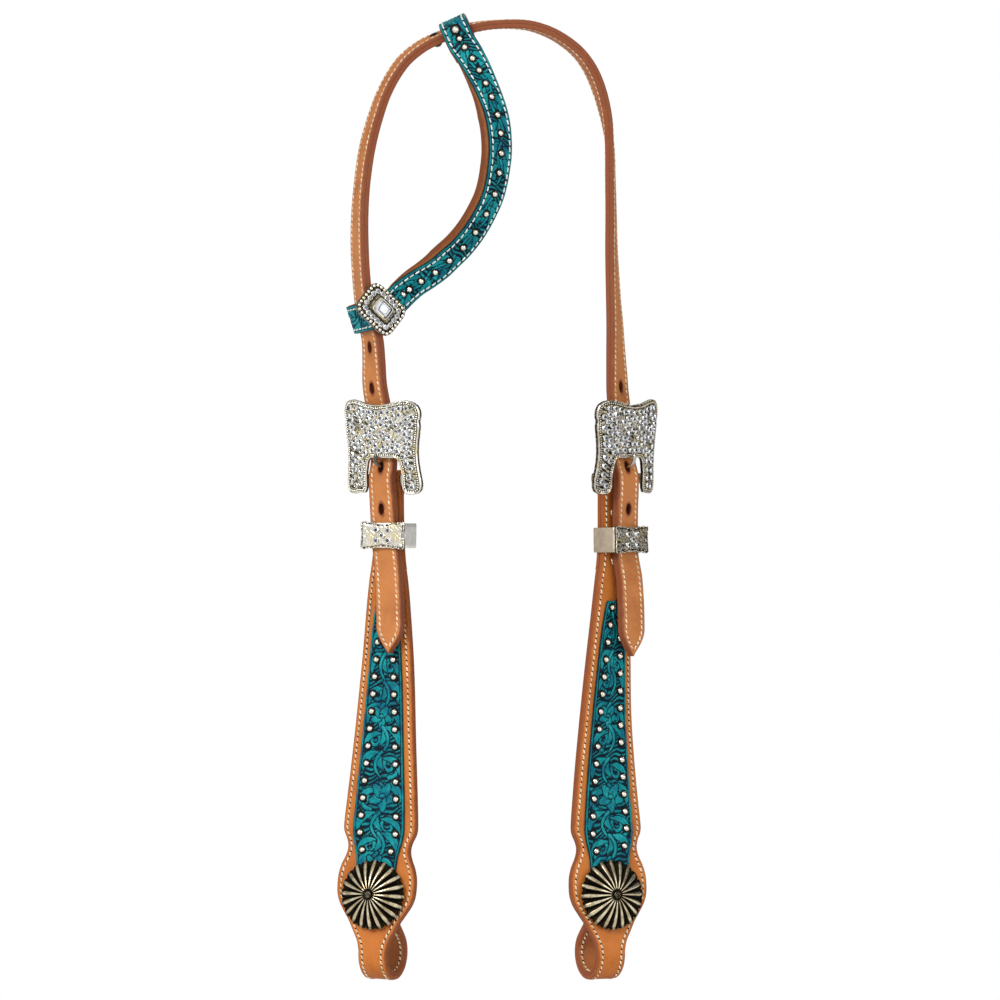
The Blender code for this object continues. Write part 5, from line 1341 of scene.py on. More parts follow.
def tooling(u, v, half, length, pitch, seed):
    """Heights from 0 in the cuts to 1 on the leaves, for a vine that winds along a panel."""
    rng = np.random.default_rng(seed)
    shape = u.shape
    u = u.ravel()
    v = v.ravel()
    sway = 2.4 * np.sin(u / (1.8 * MM) + v / (4.6 * MM)) + 1.6 * np.sin(u / (3.1 * MM) - v / (7.3 * MM))
    heights = 0.33 + 0.33 * np.sin(v / (0.40 * MM) + sway + u / (1.1 * MM))
    stem = pitch * 0.085

    def raised(spine, width, form, vein=True):
        carve(heights, u, v, spine, width, form, vein, pitch * 0.055)

    for i in range(-1, int(length / pitch) + 2):
        sense = 1 if i % 2 else -1
        base = (i + 0.15 * rng.standard_normal()) * pitch
        wide = float(np.interp(base + pitch / 2, half[0], half[1]))
        side = sense * wide
        vine = bezier((0.0, base), (side * 0.62, base + pitch * 0.5), (0.0, base + pitch), 40)
        centre = (-side * 0.42, base + pitch * 0.52)
        scroll = spiral(centre, wide * 0.52, start=90.0, turns=1.35, sense=sense)
        raised(scroll, stem, STEM, vein=False)
        for places, width in VINE_LEAVES:
            leaf = bezier(*((side * x, base + pitch * y) for x, y in places), 26)
            raised(leaf, pitch * width, LEAF)
        raised(vine, stem * 0.8, STEM, vein=False)
        if i % 3 == 1 and wide > pitch * 0.6:
            middle = (side * 0.1, base + pitch * 0.5)
            for k in range(5):
                turn = 2 * math.pi * (k + 0.2) / 5
                tip = (middle[0] + wide * 0.5 * math.cos(turn), middle[1] + wide * 0.5 * math.sin(turn))
                raised(bezier(middle, middle, tip, 12), wide * 0.21, PETAL)
            eye = bezier(middle, middle, (middle[0], middle[1] + 0.0002), 4)
            raised(eye, wide * 0.13, STEM, vein=False)
    return heights.reshape(shape)


# Small shapes that repeat
sew = sewing_tree()
setting = setting_tree()
cream_stitch = stitch_shape("cream_stitch", length=0.0025, width=0.00108, rise=0.00032, slant=0.28)
white_stitch = stitch_shape("white_stitch", length=0.0031, width=0.00098, rise=0.00030, slant=0.08)
stone = stone_shape("cut_stone")
PAINTED_FACET_LIGHTS = (0.9, 0.40, 1.0, 0.75, 0.25, 0.95, 0.5, 0.85, 0.2, 1.0, 0.55)


def paint_facet_lights(mesh, stride, shade_of):
    """Give every facet its own painted brightness, times what its own shade calls for."""
    cycle = len(PAINTED_FACET_LIGHTS)
    facet_lights = [PAINTED_FACET_LIGHTS[i * stride % cycle] * shade_of(face) for i, face in enumerate(mesh.polygons)]
    add_layer(mesh, "tone", facet_lights, "FACE")


def turned_pattern(name, rings, sides, low=None, high=None):
    """A small turned shape, darker up to the low level and brighter from the high one."""
    shape = Shape()
    turned_shape(shape, Frame((0, 0, 0), (0, 1, 0), (0, 0, 1)), rings, sides)
    thing = pattern_shape(name, [tuple(point) for point in shape.points], shape.faces)
    if high is not None:
        heights = np.array([vertex.co.z for vertex in thing.data.vertices])
        add_layer(thing.data, "relief", np.clip((heights - low) / (high - low), 0.0, 1.0))
    return thing


# Painted dark reflection on the table and on the facets that face down, painted glints on the rest
paint_facet_lights(stone.data, 5, lambda face: 0.03 if face.area > 0.1 or face.normal.z < 0.2 else 1.0)
# The spot's flange is darker: painted shade round the spot, with tarnish in the dip round its dome
spot = turned_pattern("nickel_spot", (
    (0.0, -0.12), (0.5, -0.12), (0.5, 0.03), (0.45, 0.06), (0.37, 0.045), (0.32, 0.12), (0.24, 0.25), (0.13, 0.33),
    (0.0, 0.355)), 16, 0.09, 0.2)
bead = turned_pattern("rim_bead", (
    (0.0, -0.3), (0.5, -0.3), (0.5, 0.05), (0.4, 0.3), (0.22, 0.44), (0.0, 0.5)), 8, -0.05, 0.3)
cup = turned_pattern("stone_cup", (
    (0.0, -0.25), (0.58, -0.25), (0.58, 0.03), (0.545, 0.08), (0.50, 0.05), (0.47, -0.04), (0.0, -0.04)), 12,
    -0.05, 0.08)
# The awl hole's cap: it carries the painted shade of the hole
pit = turned_pattern("awl_hole", (
    (0.0, -0.0006), (0.00048, -0.0002), (0.00054, 0.00009), (0.00036, 0.00014), (0.0, 0.00008)), 7)


def dressed(thing, body, slot, *nodes):
    """Put a finished piece on its body and hide the solids it stands for. Its slot is not used."""
    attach(thing, body)
    if nodes:
        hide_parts(*nodes)
    return thing


def seam_paths(rows, inset, sign, lift):
    """Both stitch rows of a strap on its outer (sign 1) or inner (sign -1) face."""
    paths = []
    for edge in (-1, 1):
        path = []
        for place, half, inner, outer in rows:
            if half > inset + 0.0002:
                face = outer + lift if sign > 0 else inner - lift
                path.append((place.at(edge * (half - inset), 0.0, face), place.out * sign))
            elif len(path) > 8:
                break
        paths.append(path)
    return paths


def later(path, distance):
    """A path that starts a little further along."""
    for i, ((point, out), (following, _)) in enumerate(zip(path, path[1:])):
        step = (following - point).length
        if step > distance:
            return [(point.lerp(following, distance / step), out)] + path[i + 1:]
        distance -= step
    return path


def between_stitches(path, pitch):
    """The same seam less half a stitch at each end, so that awl holes fall between stitches."""
    length = sum((following - point).length for (point, _), (following, _) in zip(path, path[1:]))
    half = length / int(length / pitch) / 2
    return later(later(path, half)[::-1], half)[::-1]


def sew_rows(name, paths, body, slot, seed, white=False):
    """Thread and awl holes along stitch rows, as one piece each."""
    shape, material, pitch = cream_stitch, cream_thread, SEW_PITCH
    if white:
        shape, material, pitch = white_stitch, white_thread, EAR_SEW_PITCH
    paths = [path for path in paths if len(path) > 2]
    dressed(sewn(f"{name}_thread", paths, shape, pitch, seed, material), body, slot)
    gaps = [between_stitches(path, pitch) for path in paths]
    holes = sewn(f"{name}_awl_holes", gaps, pit, pitch, seed + 1, pricked_leather, wander=0.1)
    dressed(holes, body, slot)


# Crown strap
crown = crown_frames(0.0016)
crown_reach = distances(crown)
holes = strap_holes(crown)


def crown_half(s):
    end = min(s, crown_reach[-1] - s) / TIP_LENGTH
    half = STRAP_WIDTH / 2
    return max(half * (1 - (1 - end) ** 1.6), 0.0005) if end < 1 else half


def crown_rows(inner, outer):
    return [(place, crown_half(s), inner, outer) for place, s in zip(crown, crown_reach)]


def build_crown_pieces():
    """Both layers with punched holes, four rows of stitching and the stop rivet."""
    body = "headstall"
    punch_points, punch_faces = oval_cutter(holes, HOLE_WIDTH / 2, HOLE_LENGTH / 2, -0.006, 0.006)
    outer_rows = crown_rows(LAYER_GAP / 2, STRAP_FACE)
    outer = leather_shape(
        outer_rows, JOINT_ROUND, FACE_ROUND, lanes=12, groove=0.00022, inset=ROW_INSET, holes=holes)
    outer = outer.build("crown_outer_leather", crown_leather)
    punch(outer, punch_points, punch_faces, cut_leather)
    dressed(outer, body, "crown_leather", "crown_strap_outer")
    inner_rows = crown_rows(-STRAP_BACK, LAYER_JOINT)
    lining = leather_shape(inner_rows, BACK_ROUND, JOINT_ROUND, lanes=8, holes=holes)
    lining = lining.build("crown_lining_leather", flesh_leather)
    punch(lining, punch_points, punch_faces, cut_leather)
    dressed(lining, body, "leather_back", "crown_strap_lining")
    paths = seam_paths(outer_rows, ROW_INSET, 1, -CROWN_SEAM_SINK)
    paths += seam_paths(inner_rows, ROW_INSET, -1, -CROWN_SEAM_SINK)
    sew_rows("crown", paths, body, "crown_leather", 3)
    place = crown_place_at(crown, EAR_TOP_SHARE * SPREAD - STOP_BACK)
    shape = Shape()
    low = -STRAP_BACK - FIT_GAP
    high = STRAP_FACE + FIT_GAP
    head = STOP_HEAD / 2
    turned_shape(shape, place, (
        (0.0, low - STOP_DOME), (head * 0.38, low - STOP_DOME * 0.93), (head * 0.74, low - STOP_DOME * 0.62),
        (head * 0.95, low - STOP_DOME * 0.25), (head, low), (head * 0.9, low + 0.0001), (0.0014, low + 0.0001),
        (0.0014, high), (head, high), (head * 0.9, high + STOP_DOME * 0.18), (head * 0.5, high + STOP_DOME * 0.31),
        (0.0, high + STOP_DOME / 3)), 28)
    dressed(shape.build("ear_stop_cap", dark_steel), body, "dark_steel", "ear_stop_rivet")


# Cheeks
def cheek_route(start_fold):
    """Fine (down, level) places of one cheek layer, with or without the fold round the heel bar."""
    loop_start = CONCHO_PLACE_SHARE * CHEEK_LENGTH + LOOP_DROP
    start = TURN_BACK_NECK if start_fold else TURN_BACK + 0.00005
    count = 20
    stops = [(start + (loop_start - start) * i / count, 0.0) for i in range(count + 1)]
    places = (fold_route() + stops[1:] if start_fold else stops) + loop_route()
    return fine_route(places, 0.0013)


def layer_rows(side, route, inner, outer):
    frames = route_frames(side, route)
    bottom = max(range(len(route)), key=lambda i: route[i][0])
    rows = []
    for i, (place, (down, _)) in enumerate(zip(frames, route)):
        half = LOOP_STRAP_WIDTH / 2 if i > bottom else cheek_half(down)
        rows.append((place, half, inner, outer))
    return rows


def build_cheek_pieces(side):
    """Front and lining layers with their stitching, and the two turn-back rivets."""
    body = "headstall"
    name = side.name
    route = cheek_route(True)
    rows = layer_rows(side, route, LAYER_GAP / 2, FRONT_FACE)
    front = leather_shape(rows, JOINT_ROUND, FACE_ROUND, lanes=14, groove=0.0002, inset=ROW_INSET)
    front = front.build(f"{name}_cheek_leather", tan_leather)
    place = tongue_place(side)
    half = TONGUE_WIDTH / 2 + SLOT_CLEARANCE
    reach = FOLD_RADIUS + FRONT_THICKNESS + SLOT_CLEARANCE
    ring = [(-half, -reach), (half, -reach), (half, reach), (-half, reach)]
    points = [place.at(x, y, level) for level in (-reach, reach) for x, y in ring]
    faces = [(0, 1, 2, 3), (4, 5, 6, 7), (0, 1, 5, 4), (1, 2, 6, 5), (2, 3, 7, 6), (3, 0, 4, 7)]
    punch(front, points, faces, cut_leather)
    dressed(front, body, "tan_leather", f"{name}_cheek_front")
    back_route = cheek_route(False)
    back_rows = layer_rows(side, back_route, -BACK_FACE, LAYER_JOINT)
    lining = leather_shape(back_rows, BACK_ROUND, JOINT_ROUND, lanes=10)
    lining = lining.build(f"{name}_cheek_lining_leather", flesh_leather)
    dressed(lining, body, "leather_back", f"{name}_cheek_lining")
    fold_end = next(i for i, (down, level) in enumerate(route) if level > 0.0001)
    sewn_front = [row for i, row in enumerate(rows) if i > fold_end and route[i][0] > 0.006]
    paths = seam_paths(sewn_front, ROW_INSET, 1, -0.0001)
    paths += seam_paths(back_rows, ROW_INSET, -1, 0.00005)
    sew_rows(f"{name}_cheek", paths, body, "tan_leather", side.pick(11, 17))
    for number, down in enumerate(RIVET_PLACES, 1):
        shape = Shape()
        level = FRONT_FACE + FIT_GAP
        head = RIVET_HEAD / 2
        turned_shape(shape, side.frame(down), (
            (0.0, -level - RIVET_DOME), (head * 0.5, -level - RIVET_DOME * 0.85),
            (head * 0.9, -level - RIVET_DOME * 0.35), (head, -level), (RIVET_SHANK / 2, -level),
            (RIVET_SHANK / 2, level), (head, level),
            (head * 0.98, level + RIVET_DOME * 0.22), (head * 0.8, level + RIVET_DOME * 0.6),
            (head * 0.5, level + RIVET_DOME * 0.9), (0.0, level + RIVET_DOME)), 28,
            relief=(1, 1, 0.8, 0.2, 0.1, 0.1, 0.2, 0.6, 1, 1, 1))
        rivet = shape.build(f"{name}_fold_rivet_{number}", concho_nickel)
        dressed(rivet, body, "antique_nickel", f"{name}_turn_back_rivet_{number}")


def tooled_panel(name, rows, material, pitch, seed, lanes, depth, shown_half):
    """A strap whose outer face is carved: dense on that face, plain behind."""
    reach = np.array(distances([row[0] for row in rows]))
    halves = np.array([row[1] for row in rows])
    width = (np.arange(lanes + 1) * 2 / lanes - 1)
    round_out = 0.0005
    across = width[None, :] * (halves[:, None] - round_out)
    along = np.repeat(reach[:, None], lanes + 1, axis=1)
    table = (reach, np.minimum(halves - 0.0012, shown_half))
    heights = tooling(across, along, table, reach[-1], pitch, seed)
    border = halves[:, None] - np.abs(across)
    strip = np.clip((border - 0.0013) / 0.0004, 0.0, 1.0)
    heights = heights * strip + (1 - strip) * np.where(border > 0.0011, 0.05, 0.75)
    shape = Shape()
    rings = []
    uvs = []
    edge = []
    relief = []
    for (place, half, inner, outer), row_across, row_heights, along in zip(rows, across, heights, reach):
        row = [(float(u), outer - depth * (1 - float(h)), half - abs(float(u)), float(h))
               for u, h in zip(row_across, row_heights)]
        row += [(u, level, 0.0, 0.4) for u, level in (
            (half, outer - round_out), (half, inner), (-half, inner), (-half, outer - round_out))]
        rings.append([place.at(u, 0.0, level) for u, level, _, _ in row])
        uvs += [(u, float(along)) for u, _, _, _ in row]
        edge += [border for _, _, border, _ in row]
        relief += [h for _, _, _, h in row]
    shape.add(every(rings), loft(rings), uvs, edge, relief)
    return shape.build(name, material)


def build_inlay_pieces(side):
    """The tooled turquoise panel and its two columns of nickel spots."""
    first = INLAY_SHARES[0][0] * CHEEK_LENGTH
    last = INLAY_SHARES[-1][0] * CHEEK_LENGTH
    count = round((last - first) / 0.00045)
    rows = []
    for i in range(count + 1):
        down = first + (last - first) * i / count
        rows.append((side.frame(down), inlay_half(down), INLAY_BACK, INLAY_FACE))
    name = f"{side.name}_tooled_inlay"
    panel = tooled_panel(
        name, rows, turquoise_leather, pitch=0.0140, seed=side.pick(5, 8), lanes=60, depth=0.00042, shown_half=0.0150)
    dressed(panel, "headstall", "turquoise_leather", f"{side.name}_inlay")
    places = []
    start = SPOT_START_SHARE * CHEEK_LENGTH
    for column in (-1, 1):
        for i in range(SPOTS_IN_COLUMN):
            shift = SPOT_STAGGER_SHARES[side.name] * SPOT_PITCH if column == 1 else 0.0
            down = start + i * SPOT_PITCH + shift
            half = max(inlay_half(down) - SPOT_INSET, SPOT_NEAREST_MIDDLE)
            place = side.frame(down)
            places.append((place.at(column * half, 0.0, INLAY_FACE), place.out, place.along, SPOT_DIAMETER))
    set_on(f"{side.name}_inlay_spots", places, spot, spot_nickel, "headstall", "antique_nickel")


# Conchos: shares of the radius and the rise, and how deep the flutes run
CONCHO_PROFILE = (
    (0.955, 0.0, 0.0), (0.99, 0.02, 0.2), (1.0, 0.055, 0.6), (0.99, 0.10, 0.9), (0.965, 0.145, 1.0),
    (0.93, 0.20, 1.0), (0.88, 0.29, 1.0), (0.82, 0.39, 1.0), (0.76, 0.49, 1.0), (0.69, 0.58, 1.0),
    (0.62, 0.67, 1.0), (0.55, 0.75, 1.0), (0.48, 0.82, 1.0), (0.41, 0.875, 1.0), (0.34, 0.915, 0.95),
    (0.28, 0.94, 0.9), (0.22, 0.96, 0.8), (0.175, 0.97, 0.6), (0.15, 0.965, 0.3), (0.135, 0.94, 0.0),
    (0.115, 0.92, 0.0), (0.105, 0.97, 0.0), (0.10, 1.04, 0.0), (0.075, 1.09, 0.0), (0.04, 1.10, 0.0),
)
CONCHO_UNDERSIDE = (
    (0.84, 0.0), (0.78, 0.07), (0.70, 0.21), (0.50, 0.51), (0.21, 0.74), (0.21, 0.0), (0.115, 0.0), (0.115, 0.72))


def within(share):
    return min(1.0, max(0.0, share))


def build_concho_pieces(side):
    """A fluted dome with a lobed rim and a boss, and the screw that clamps the bit loop's tail."""
    place = side.frame(CONCHO_PLACE_SHARE * CHEEK_LENGTH)
    seat = INLAY_FACE + CONCHO_SEAT_GAP
    radius = CONCHO_DIAMETER / 2
    sides = CONCHO_FLUTES * 18
    points = []
    relief = []
    angles = np.arange(sides) * 2 * math.pi / sides
    wave = np.abs(np.cos(angles * CONCHO_FLUTES / 2))
    # Painted highlight and shade: only a band along each ridge's crest keeps the bright metal colour, the rest of
    # each flute is painted dark
    height = np.clip(1.0 - (0.99 - wave) / 0.29, 0.0, 1.0)
    for size, rise, flute in CONCHO_PROFILE:
        lobe = within((size - 0.72) / 0.21)
        reach = radius * size * (1 - 0.065 * lobe * lobe * (3 - 2 * lobe) * (1 - wave ** 0.45))
        level = seat + rise * CONCHO_RISE - flute * (0.0019 * size + 0.0003) * (1 - wave ** 0.85) * (size < 0.975)
        level = np.maximum(level, seat + 0.0003 * min(1.0, rise / 0.05))
        for (x, y), r, z in zip(circle(sides), reach, level):
            points.append(place.at(float(r) * x, float(r) * y, float(z)))
        # Painted shade: the flutes also darken near the boss and towards the rim
        brightness = within((size - 0.13) / 0.10) * (1 - 0.55 * within((size - 0.84) / 0.10))
        if size < 0.14:
            relief += [0.0 if size > 0.1 else 0.30] * sides
        else:
            relief += (height * brightness).tolist()
    for size, rise in CONCHO_UNDERSIDE:
        reach = radius * size
        points += [place.at(reach * x, reach * y, seat + rise * CONCHO_RISE) for x, y in circle(sides)]
        relief += [0.55] * sides
    rings = len(CONCHO_PROFILE)
    count = rings + len(CONCHO_UNDERSIDE)
    order = list(range(rings - 1, -1, -1)) + list(range(rings, count))
    faces = every(band(low * sides, high * sides, sides) for low, high in zip(order, order[1:]))
    faces += [tuple(range((end - 1) * sides, end * sides)) for end in (rings, count)]
    shape = Shape()
    shape.add(points, faces, relief=relief)
    concho = shape.build(f"{side.name}_fluted_concho", concho_nickel)
    dressed(concho, f"{side.name}_concho", "antique_nickel", f"{side.name}_concho")
    back = -TAIL_BACK - FIT_GAP
    shape = Shape()
    head = POST_HEAD / 2
    thick = POST_HEAD_THICKNESS
    shank = POST_DIAMETER / 2
    top = seat + CONCHO_RISE * 0.66
    turned_shape(shape, place, (
        (0.0, back - thick * 0.55), (head * 0.16, back - thick * 0.55), (head * 0.2, back - thick),
        (head * 0.7, back - thick), (head * 0.92, back - thick * 0.8), (head, back - thick * 0.35), (head, back),
        (shank, back), (shank, top), (0.0, top)), 36, relief=(0.1, 0.1, 0.9, 1, 1, 0.8, 0.4, 0.2, 0.3, 0.3))
    post = shape.build(f"{side.name}_concho_post", bright_steel)
    dressed(post, "headstall", "bright_steel", f"{side.name}_concho_screw")


# Cast plates
def smooth_outline(corners, step, rounds):
    """A closed outline at close steps with its corners eased."""
    path = []
    for a, b in zip(corners, corners[1:] + corners[:1]):
        run = math.dist(a, b)
        count = max(1, round(run / step))
        path += [(a[0] + (b[0] - a[0]) * i / count, a[1] + (b[1] - a[1]) * i / count) for i in range(count)]
    path = np.array(path)
    for _ in range(rounds):
        path = 0.5 * path + 0.25 * (np.roll(path, 1, axis=0) + np.roll(path, -1, axis=0))
    return path


def away_from(outline, points):
    """Distance from each point to a closed outline."""
    a = outline
    b = np.roll(outline, -1, axis=0)
    run = b - a
    best = np.full(len(points), 1.0)
    for start in range(0, len(points), 2000):
        part = points[start:start + 2000]
        gap = part[:, None, :] - a[None]
        share = np.clip((gap * run[None]).sum(-1) / (run ** 2).sum(-1)[None], 0, 1)
        best[start:start + 2000] = np.sqrt(((gap - share[..., None] * run[None]) ** 2).sum(-1)).min(axis=1)
    return best


def inside_of(outline, points):
    """Which points lie inside a closed outline."""
    x, y = points[:, 0], points[:, 1]
    inside = np.zeros(len(points), bool)
    x0, y0 = outline[-1]
    for x1, y1 in outline:
        crosses = (y0 > y) != (y1 > y)
        reach = (x1 - x0) * (y - y0) / ((y1 - y0) or 1e-12) + x0
        inside ^= crosses & (x < reach)
        x0, y0 = x1, y1
    return inside


def grid_inside(outline, step, margin):
    """Evenly packed points inside an outline, kept off its edge."""
    low = outline.min(axis=0)
    high = outline.max(axis=0)
    points = []
    for j, y in enumerate(np.arange(low[1], high[1], step * 0.866)):
        for x in np.arange(low[0] + (step / 2 if j % 2 else 0), high[0], step):
            points.append((x, y))
    points = np.array(points)
    points = points[inside_of(outline, points)]
    return points[away_from(outline, points) > margin]


def filled(outline, inner):
    """Triangles that fill an outline through its inner points."""
    count = len(outline)
    points = [Vector(map(float, point)) for point in np.concatenate([outline, inner])]
    edges = [(i, (i + 1) % count) for i in range(count)]
    made = delaunay_2d_cdt(points, edges, [], 1, 1e-7)
    return [tuple(point) for point in made[0]], made[2]


def plate_piece(shape, place, outline, base, thickness, carve_face, fall, step):
    """A cast plate: a carved front, rounded rim, straight side and plain back."""
    inner = grid_inside(outline, step, margin=0.00035)
    flat, faces = filled(outline, inner)
    flat = np.array(flat)
    away = away_from(outline, flat)
    height, relief = carve_face(flat[:, 0], flat[:, 1], away)
    rim = away < 0.00002
    height = np.where(rim, -0.0004, height)
    relief = np.where(rim, 0.55, relief)
    levels = base + thickness + height - fall(flat[:, 0])
    shape.add([place.at(x, y, z) for (x, y), z in zip(flat, levels)], faces, relief=relief.tolist())
    back, back_faces = filled(outline, grid_inside(outline, step=0.003, margin=0.001))
    shape.add([place.at(x, y, base - fall(x)) for x, y in back], back_faces, relief=[0.6] * len(back))
    count = len(outline)
    points = []
    shades = []
    for level, wall_shade in ((base, 0.3), (base + thickness * 0.5, 0.2), (base + thickness - 0.0004, 0.45)):
        points += [place.at(x, y, level - fall(x)) for x, y in outline]
        shades += [wall_shade] * count
    shape.add(points, band(0, count, count) + band(count, 2 * count, count), relief=shades)


def weld(thing):
    """Merge the seams between a plate's front, side and back."""
    face_outwards(thing.data, 0.00002)
    shade(thing.data, 50)
    return thing


def rim_places(outline, place, level, fall, inset, pitch, size):
    """Beads at an even pitch just inside an outline."""
    following = np.roll(outline, -1, axis=0) - np.roll(outline, 1, axis=0)
    normal = np.stack((following[:, 1], -following[:, 0]), axis=1)
    normal /= np.linalg.norm(normal, axis=1)[:, None]
    area = np.sum(outline[:, 0] * np.roll(outline[:, 1], -1) - np.roll(outline[:, 0], -1) * outline[:, 1])
    ring = outline - normal * inset * (1 if area > 0 else -1)
    ring = ring[away_from(outline, ring) > inset * 0.9]
    closed = np.vstack([ring, ring[:1]])
    reach = np.concatenate([[0.0], np.cumsum(np.linalg.norm(np.diff(closed, axis=0), axis=1))])
    count = int(reach[-1] / pitch)
    at = np.linspace(0.0, reach[-1], count, endpoint=False)
    xs = np.interp(at, reach, closed[:, 0])
    ys = np.interp(at, reach, closed[:, 1])
    return [(place.at(x, y, level - fall(x)), place.out, place.along, size) for x, y in zip(xs, ys)]


def packed_stones(outline, size, gap, margin, seed, keep_share):
    """Stone centres packed close inside an outline, a few left out for the engraving."""
    rng = np.random.default_rng(seed)
    places = []
    grid = grid_inside(outline, size * 0.25, margin)
    order = np.argsort(away_from(outline, grid) + rng.uniform(0, size * 0.18, len(grid)))
    for at in order:
        point = grid[at]
        if all(math.dist(point, other) > size + gap for other in places):
            places.append(point)
    away = away_from(outline, np.array(places))
    return [point for point, far in zip(places, away) if far < margin * 1.9 or rng.uniform() < keep_share]


def scroll_field(outline, seed, pitch, half):
    """Scrollwork heights for a casting's field."""
    def heights(x, y):
        """Scrolls that stand clear of a low ground."""
        table = (np.array([0.0, 1.0]), np.array([half, half]))
        up = y - outline[:, 1].min()
        vines = [
            tooling(x - shift, up + lag, table, np.ptp(outline[:, 1]), pitch, seed + number)
            for number, (shift, lag) in enumerate(((0, 0), (half * 1.5, pitch / 2), (-half * 1.5, pitch / 3)))]
        return np.clip(np.maximum.reduce(vines) * 1.5 - 0.5, 0.0, 1.0)
    return heights


def bordered(strip, channel, sunk, field, low):
    """A bright strip, a dark channel for the beads, and a sunk field of scrollwork."""
    def carve_face(x, y, away):
        scrolls = field(x, y)
        height = np.where(away < strip, 0.0, np.where(away < channel, -sunk, -sunk * (1.1 - 0.75 * scrolls)))
        relief = np.where(away < strip, 1.0, np.where(away < channel, 0.05, low + (1 - low) * scrolls))
        return height, relief
    return carve_face


def stone_places(points, place, level, fall, size, seed):
    rng = np.random.default_rng(seed)
    made = []
    for x, y in points:
        turn = rng.uniform(0, 2 * math.pi)
        way = place.across * math.cos(turn) + place.along * math.sin(turn)
        tilt = place.across * rng.uniform(-0.12, 0.12) + place.along * rng.uniform(-0.12, 0.12)
        out = (place.out + tilt + place.across * (x / PLATE_CURVE_RADIUS if fall(x) else 0.0)).normalized()
        made.append((place.at(x, y, level - fall(x)), out, way, size * rng.uniform(0.94, 1.04)))
    return made


def no_fall(x):
    return x * 0.0


def buckle_fall(x):
    return PLATE_CURVE_RADIUS - np.sqrt(PLATE_CURVE_RADIUS ** 2 - x * x)


def build_buckle_pieces(side):
    """The stone-set plate with its legs, lugs and heel bar."""
    name = side.name
    body = f"{name}_buckle"
    place = buckle_place(side)
    place.origin = place.at(BUCKLE_SHIFTS[name], 0.0, 0.0)
    gap = BUCKLE_GAP / 2
    corner = BUCKLE_GAP / 16
    rim = [(x * BUCKLE_WIDTH / 2, y * BUCKLE_RISE) for x, y in BUCKLE_OUTLINE_SHARES]
    cut = [(gap + corner, -BUCKLE_LEG_DROP * 0.92), (gap, -BUCKLE_LEG_DROP * 0.55)]
    cut += [(gap, PLATE_EDGE * 0.3), (gap - corner, PLATE_EDGE * 0.85)]
    cut += [(gap - 2 * corner, PLATE_EDGE), (gap / 3, PLATE_EDGE)]
    low, high = CUT_SHIFTS[name]
    corners = rim + [(x + high, y) for x, y in cut] + [(low - x, y) for x, y in reversed(cut)]
    corners += [(-x, y) for x, y in reversed(rim) if x]
    outline = smooth_outline(corners, step=0.0005, rounds=5)
    shape = Shape()
    scrolls = scroll_field(outline, seed=side.pick(21, 33), pitch=0.0085, half=0.0065)
    face = bordered(strip=0.0009, channel=0.0023, sunk=0.00050, field=scrolls, low=0.1)
    plate_piece(shape, place, outline, PLATE_BACK, PLATE_THICKNESS, face, buckle_fall, step=0.00048)
    silver = side.pick(buckle_silver, dark_silver)
    plate = weld(shape.build(f"{name}_buckle_plate", silver))
    shape = Shape()
    lug = gap + LUG_WIDTH / 2 + corner / 2
    drop = float(buckle_fall(lug))
    top = PLATE_BACK - drop
    stations = (
        (-BAR_RADIUS * 1.3, 0.7), (-BAR_RADIUS, 1.0), (BAR_RADIUS * 2.2, 1.0), (top - 0.001, 1.05),
        (top + 0.0006, 1.2))
    for middle in (-lug, lug):
        rings = []
        for level, grow in stations:
            section = squared_oval(LUG_WIDTH * grow, LUG_HEIGHT * grow, 4, 12, 0.5)
            rings.append([place.at(middle + x, y, level) for x, y in section])
        shape.skin(rings, 0.5)
    bar = Frame(place.origin, place.along, place.across)
    rod = ((0.0, -lug), (BAR_RADIUS, -lug), (BAR_RADIUS, lug), (0.0, lug))
    turned_shape(shape, bar, rod, 28, relief=(0.6,) * 4)
    stem = shape.build(f"{name}_buckle_bar", silver)
    level = PLATE_BACK + PLATE_THICKNESS
    dressed(join(f"{name}_cast_buckle", [plate, stem]), body, "antique_silver", f"{name}_buckle_frame")
    beads = rim_places(
        outline, place, level - 0.00032, buckle_fall, inset=0.0016, pitch=BUCKLE_BEAD_PITCH, size=BUCKLE_BEAD)
    set_on(f"{name}_buckle_beads", beads, bead, silver, body, "antique_silver")
    stones = packed_stones(
        outline, BUCKLE_STONE, gap=0.0002, margin=0.0040, seed=side.pick(4, 9), keep_share=side.pick(0.72, 0.88))
    places = stone_places(stones, place, level - 0.00012, buckle_fall, BUCKLE_STONE, seed=6)
    set_on(f"{name}_buckle_stones", places, stone, cut_stones, body, "clear_stone", smooth=False)
    set_on(f"{name}_buckle_stone_cups", places, cup, silver, body, "antique_silver")


